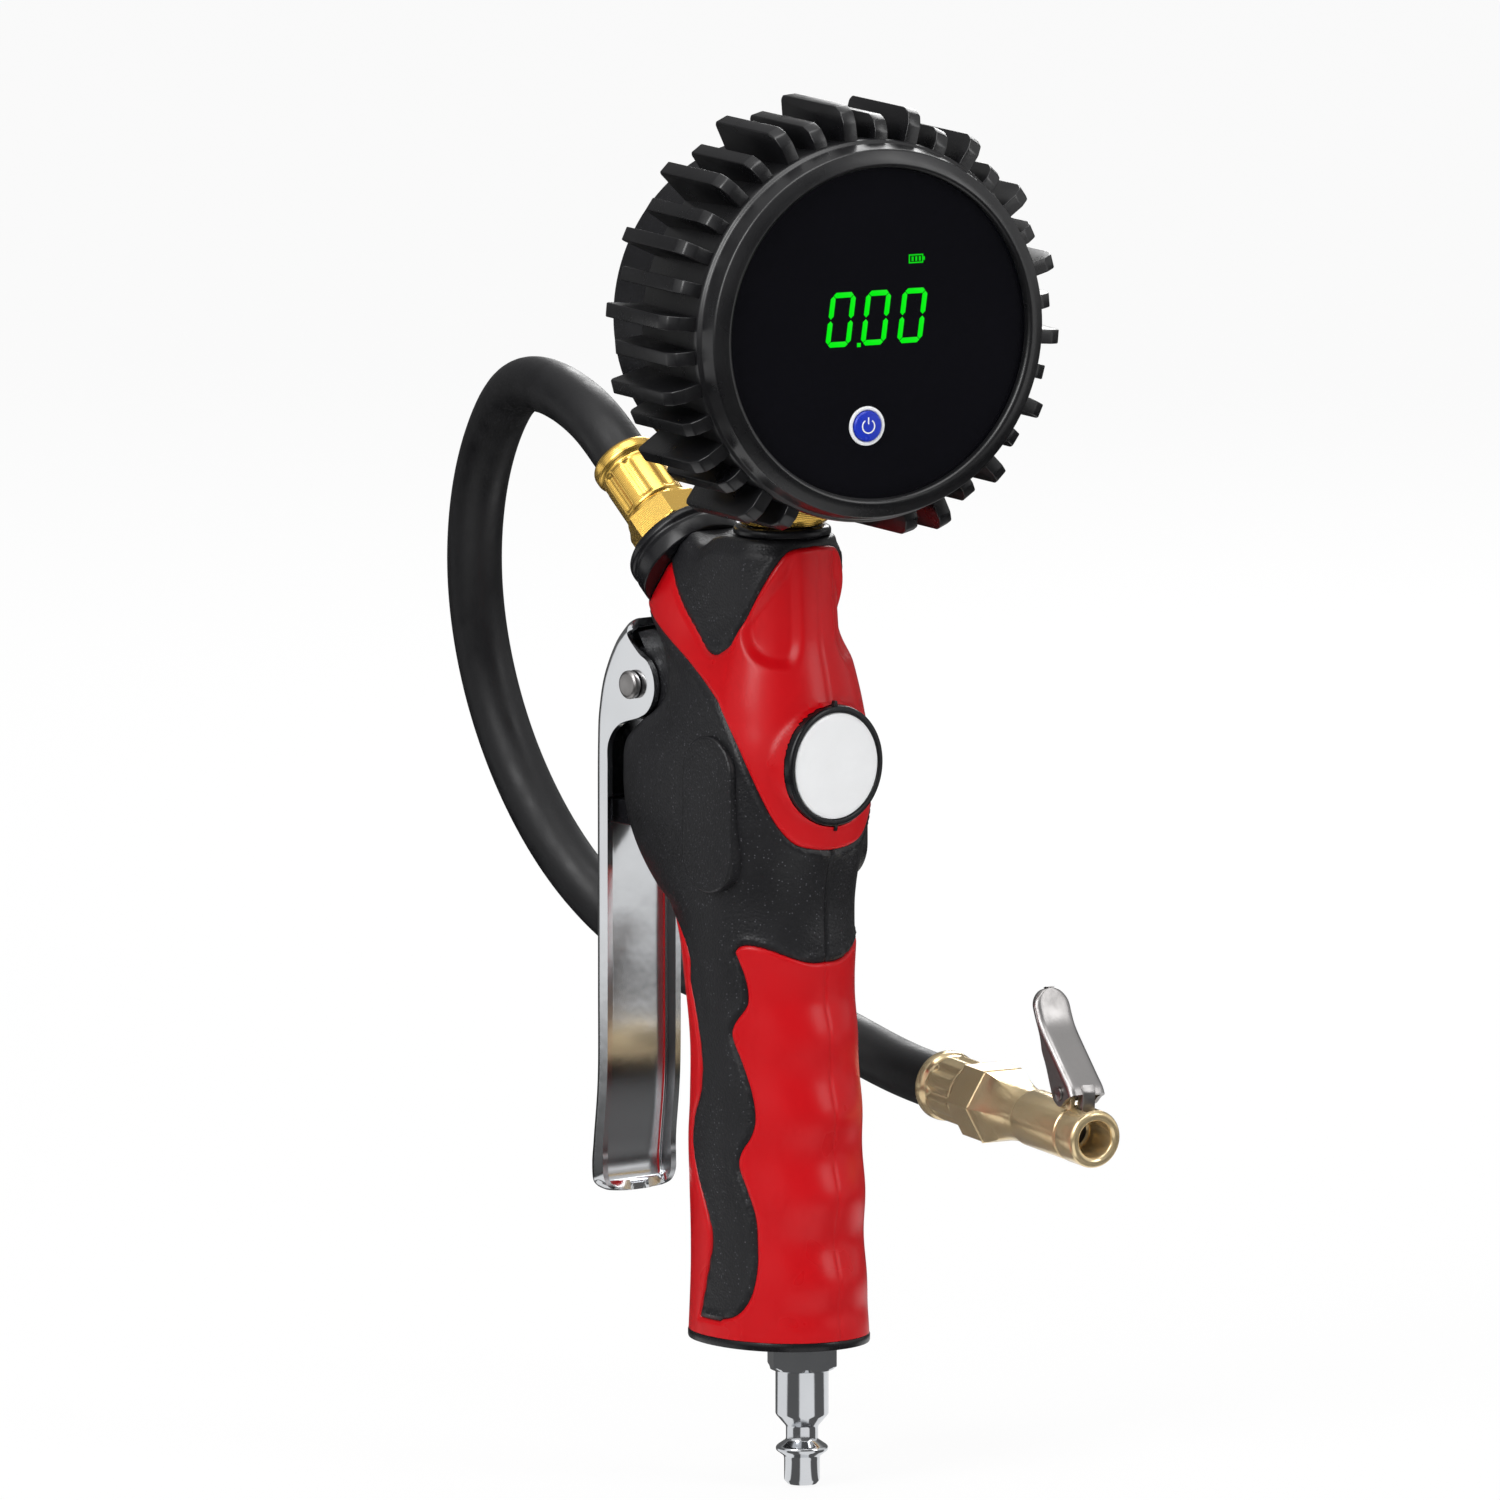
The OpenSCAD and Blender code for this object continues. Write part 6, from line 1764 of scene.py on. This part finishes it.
@dataclass
class Gauge:
    """The digital gauge: boot with fins, display and button, in millimetres along its own axis."""

    case: float = 38.0
    boot: float = 42.6
    back: float = 10.5
    front: float = 41.0
    face: float = 45.2
    long_fin: float = 50.0
    short_fin: float = 47.7
    fin: float = 3.2
    stem_gap: tuple[int, ...] = (-15, -5, 5)
    digits: tuple[float, ...] = (-8.9, -0.15, 8.9)
    digit_y: float = 3.44
    lean: float = 0.135
    stroke: float = 0.6
    button_x: float = -2.4
    button_y: float = -20.5
    symbol_z: float = 46.06
    symbol_line: float = 0.17

    def boot_ring(self) -> Piece:
        """Makes the rubber boot: the turned ring with its raised lip, and a fin every ten degrees but at the stem.

        Returns:
            The piece.
        """
        c, b, front, face = self.case, self.boot, self.front, self.face
        ring = [[c + 0.2, self.back], [b - 2.2, self.back], [b - 0.9, 26], [b, front - 1.0], [b - 0.1, front + 0.2],
                [b - 0.9, front + 0.9], [c + 2.9, face + 1.0], [c + 0.8, face + 2.0], [c - 0.4, face + 2.35],
                [c - 1.1, face + 1.9], [c - 1.4, face + 0.3], [c + 0.2, face + 0.2]]
        shape = lathe(Shape(), GAUGE, soft_profile(ring, 0.4), 144)
        for k in range(36):
            turn = -175 + 10 * k
            if turn not in self.stem_gap:
                self.add_fin(shape, turn - 90, self.long_fin if k % 2 == 0 else self.short_fin)
        return shape.build("finned_boot", 35)

    def add_fin(self, shape: Shape, turn: float, reach: float) -> None:
        """Adds one fin: a slab in the plane through the gauge's axis, with chamfered top and softened rims.

        Args:
            shape: Shape that takes it.
            turn: Its angle round the axis in degrees.
            reach: Its tip's distance from the axis.
        """
        root, back, front = self.boot - 3.2, self.back, self.front
        outline = np.array([[root, back], [reach - 1, back], [reach, back + 1], [reach, front - 4.6],
                            [reach - 1.1, front - 2.0], [reach - 3.4, front - 0.7], [root, front - 0.6]])
        a = math.radians(turn)
        out = math.cos(a) * np.array(GAUGE.x) + math.sin(a) * np.array(GAUGE.y)
        across = -math.sin(a) * np.array(GAUGE.x) + math.cos(a) * np.array(GAUGE.y)
        axes = Axes(GAUGE.origin, tuple(out), GAUGE.z, tuple(across))
        add_slab(shape, axes, rounded(outline, 0.4, 3), -self.fin / 2, self.fin / 2, 0.28)

    def segment(self, shape: Shape, centre: tuple[float, float], length: float, upright: bool) -> None:
        """Adds one segment of a digit: a flat bar with pointed ends, leaning as the digits do.

        Args:
            shape: Shape that takes it.
            centre: Its middle.
            length: Its length.
            upright: Whether it stands; otherwise it lies.
        """
        half, thick = length / 2, self.stroke
        bar = np.array([[-half, 0], [-half + thick, -thick], [half - thick, -thick],
                        [half, 0], [half - thick, thick], [-half + thick, thick]])
        bar = (bar[:, ::-1] if upright else bar) + np.array(centre)
        bar[:, 0] += self.lean * (bar[:, 1] - self.digit_y)
        add_slab(shape, GAUGE, bar, self.face + 0.01, self.face + 0.07, 0.015)

    def display(self) -> tuple[Piece, Piece]:
        """Makes the zero reading, three seven-segment digits with a point, and the battery icon.

        Returns:
            The reading and the icon.
        """
        lit, middle = Shape(), self.digit_y
        for x in self.digits:
            for y in (middle + 5.45, middle - 5.45):
                self.segment(lit, (x, y), 4.9, False)
            for dx in (-2.5, 2.5):
                for y in (middle + 2.75, middle - 2.75):
                    self.segment(lit, (x + dx, y), 5.1, True)
        dot = np.array([[-0.45, -0.45], [0.45, -0.45], [0.45, 0.45], [-0.45, 0.45]]) + [-4.4, -2.4]
        add_slab(lit, GAUGE, dot, self.face + 0.01, self.face + 0.07, 0.015)
        icon = Shape()
        for x0, x1, y0, y1 in ((8, 11.6, 16.7, 17.0), (8, 11.6, 15.0, 15.3), (8, 8.3, 15.0, 17.0),
                               (11.3, 11.6, 15.0, 17.0), (11.6, 12.0, 15.6, 16.4), (8.7, 9.2, 15.5, 16.5),
                               (9.6, 10.1, 15.5, 16.5), (10.5, 11.0, 15.5, 16.5)):
            bar = np.array([[x0, y0], [x1, y0], [x1, y1], [x0, y1]])
            add_slab(icon, GAUGE, bar, self.face + 0.01, self.face + 0.06, 0.01)
        return lit.build("digit_segments", 30), icon.build("battery_icon", 30)

    def button(self) -> tuple[Piece, Piece, Piece]:
        """Makes the blue button, its white power symbol and the white ring round it.

        Returns:
            The button, the symbol and the ring.
        """
        axes = Axes(GAUGE.at(self.button_x, self.button_y, 0), GAUGE.x, GAUGE.y, GAUGE.z)
        crown = [[3.1 * t, 46.1 - 0.1 * t**2] for t in (0.8, 0.55, 0.3)]
        cap = [[0.02, 36.4], [1.2, 36.4], [1.2, 41.5], [3.4, 41.5], [3.4, 45.7], [3.1, 46.0], *crown, [0.02, 46.1]]
        button = lathe(Shape(), axes, cap, 72, False).build("button_cap", 40)
        turn = np.radians(np.linspace(125, 415, 60))
        arc = np.stack([1.5 * np.cos(turn), 1.5 * np.sin(turn), np.full(60, self.symbol_z)], axis=1)
        bar = np.stack([np.zeros(8), np.linspace(0.5, 2.0, 8), np.full(8, self.symbol_z)], axis=1)
        symbol = Shape()
        for line in (arc, bar):
            add_tube(symbol, axes.place(line), self.symbol_line, 8, GAUGE.z)
        rim = [[3.5, 42.4], [4.4, 42.4], [4.4, 45.2], [4.35, 45.4], [4.1, 45.5], [3.7, 45.5], [3.5, 45.3]]
        ring = lathe(Shape(), axes, soft_profile(rim, 0.12, 3), 72).build("button_ring", 40)
        return button, symbol.build("power_symbol", 60), ring

    def build(self, finishes: Finishes) -> None:
        """Makes the gauge's pieces.

        Args:
            finishes: The finishes.
        """
        place(self.boot_ring(), finishes.boot, Body.ROOT, "boot_rubber", "gauge_boot")
        lit, icon = self.display()
        place(lit, finishes.glow, Body.ROOT, "lens_clear")
        place(icon, finishes.glow_dim, Body.ROOT, "lens_clear")
        button, symbol, ring = self.button()
        place(button, finishes.blue, Body.BUTTON, "button_blue", "power_button")
        place(symbol, finishes.white, Body.BUTTON, "bezel_white")
        place(ring, finishes.white, Body.ROOT, "bezel_white", "button_bezel")


def dress_inner(finishes: Finishes) -> None:
    """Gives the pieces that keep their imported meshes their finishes.

    Args:
        finishes: The finishes.
    """
    for material, names in (
        (finishes.seal, ("inlet_seal", "end_plug_oring", "valve_seals", "gauge_stem_seal", "chuck_seal")),
        (finishes.zinc, ("inlet_strainer", "housing_screws", "return_spring", "battery_door_screw", "pressure_sensor",
                         "button_switch")),
        (finishes.cast, ("valve_body",)),
        (finishes.brass, ("valve_end_plug", "valve_sleeve", "valve_spool")),
        (finishes.pale_brass, ("chuck_depressor",)),
        (finishes.nickel, ("chuck_lever_pin",)),
        (finishes.smooth_abs, ("gauge_case", "battery_door")),
        (finishes.lens, ("gauge_lens", "lcd_display")),
        (finishes.board, ("circuit_board",)),
        (finishes.wrap, ("batteries",)),
    ):
        dress_nodes(material, names)
        LOG.info("dressed %s", ", ".join(names))


def main() -> None:
    """Builds the camera, the cord, every sub-assembly, and the stage."""
    logging.basicConfig(level=logging.INFO, format="%(name)s: %(message)s")
    studio = Studio()
    studio.camera()
    finishes = Finishes()
    chuck = Chuck().build(finishes)
    Hose().build(finishes, chuck)
    for part in (Fittings(), Handle(), SqueezeLever(), Gauge()):
        part.build(finishes)
    dress_inner(finishes)
    studio.build()


if __name__ == "__main__":
    main()
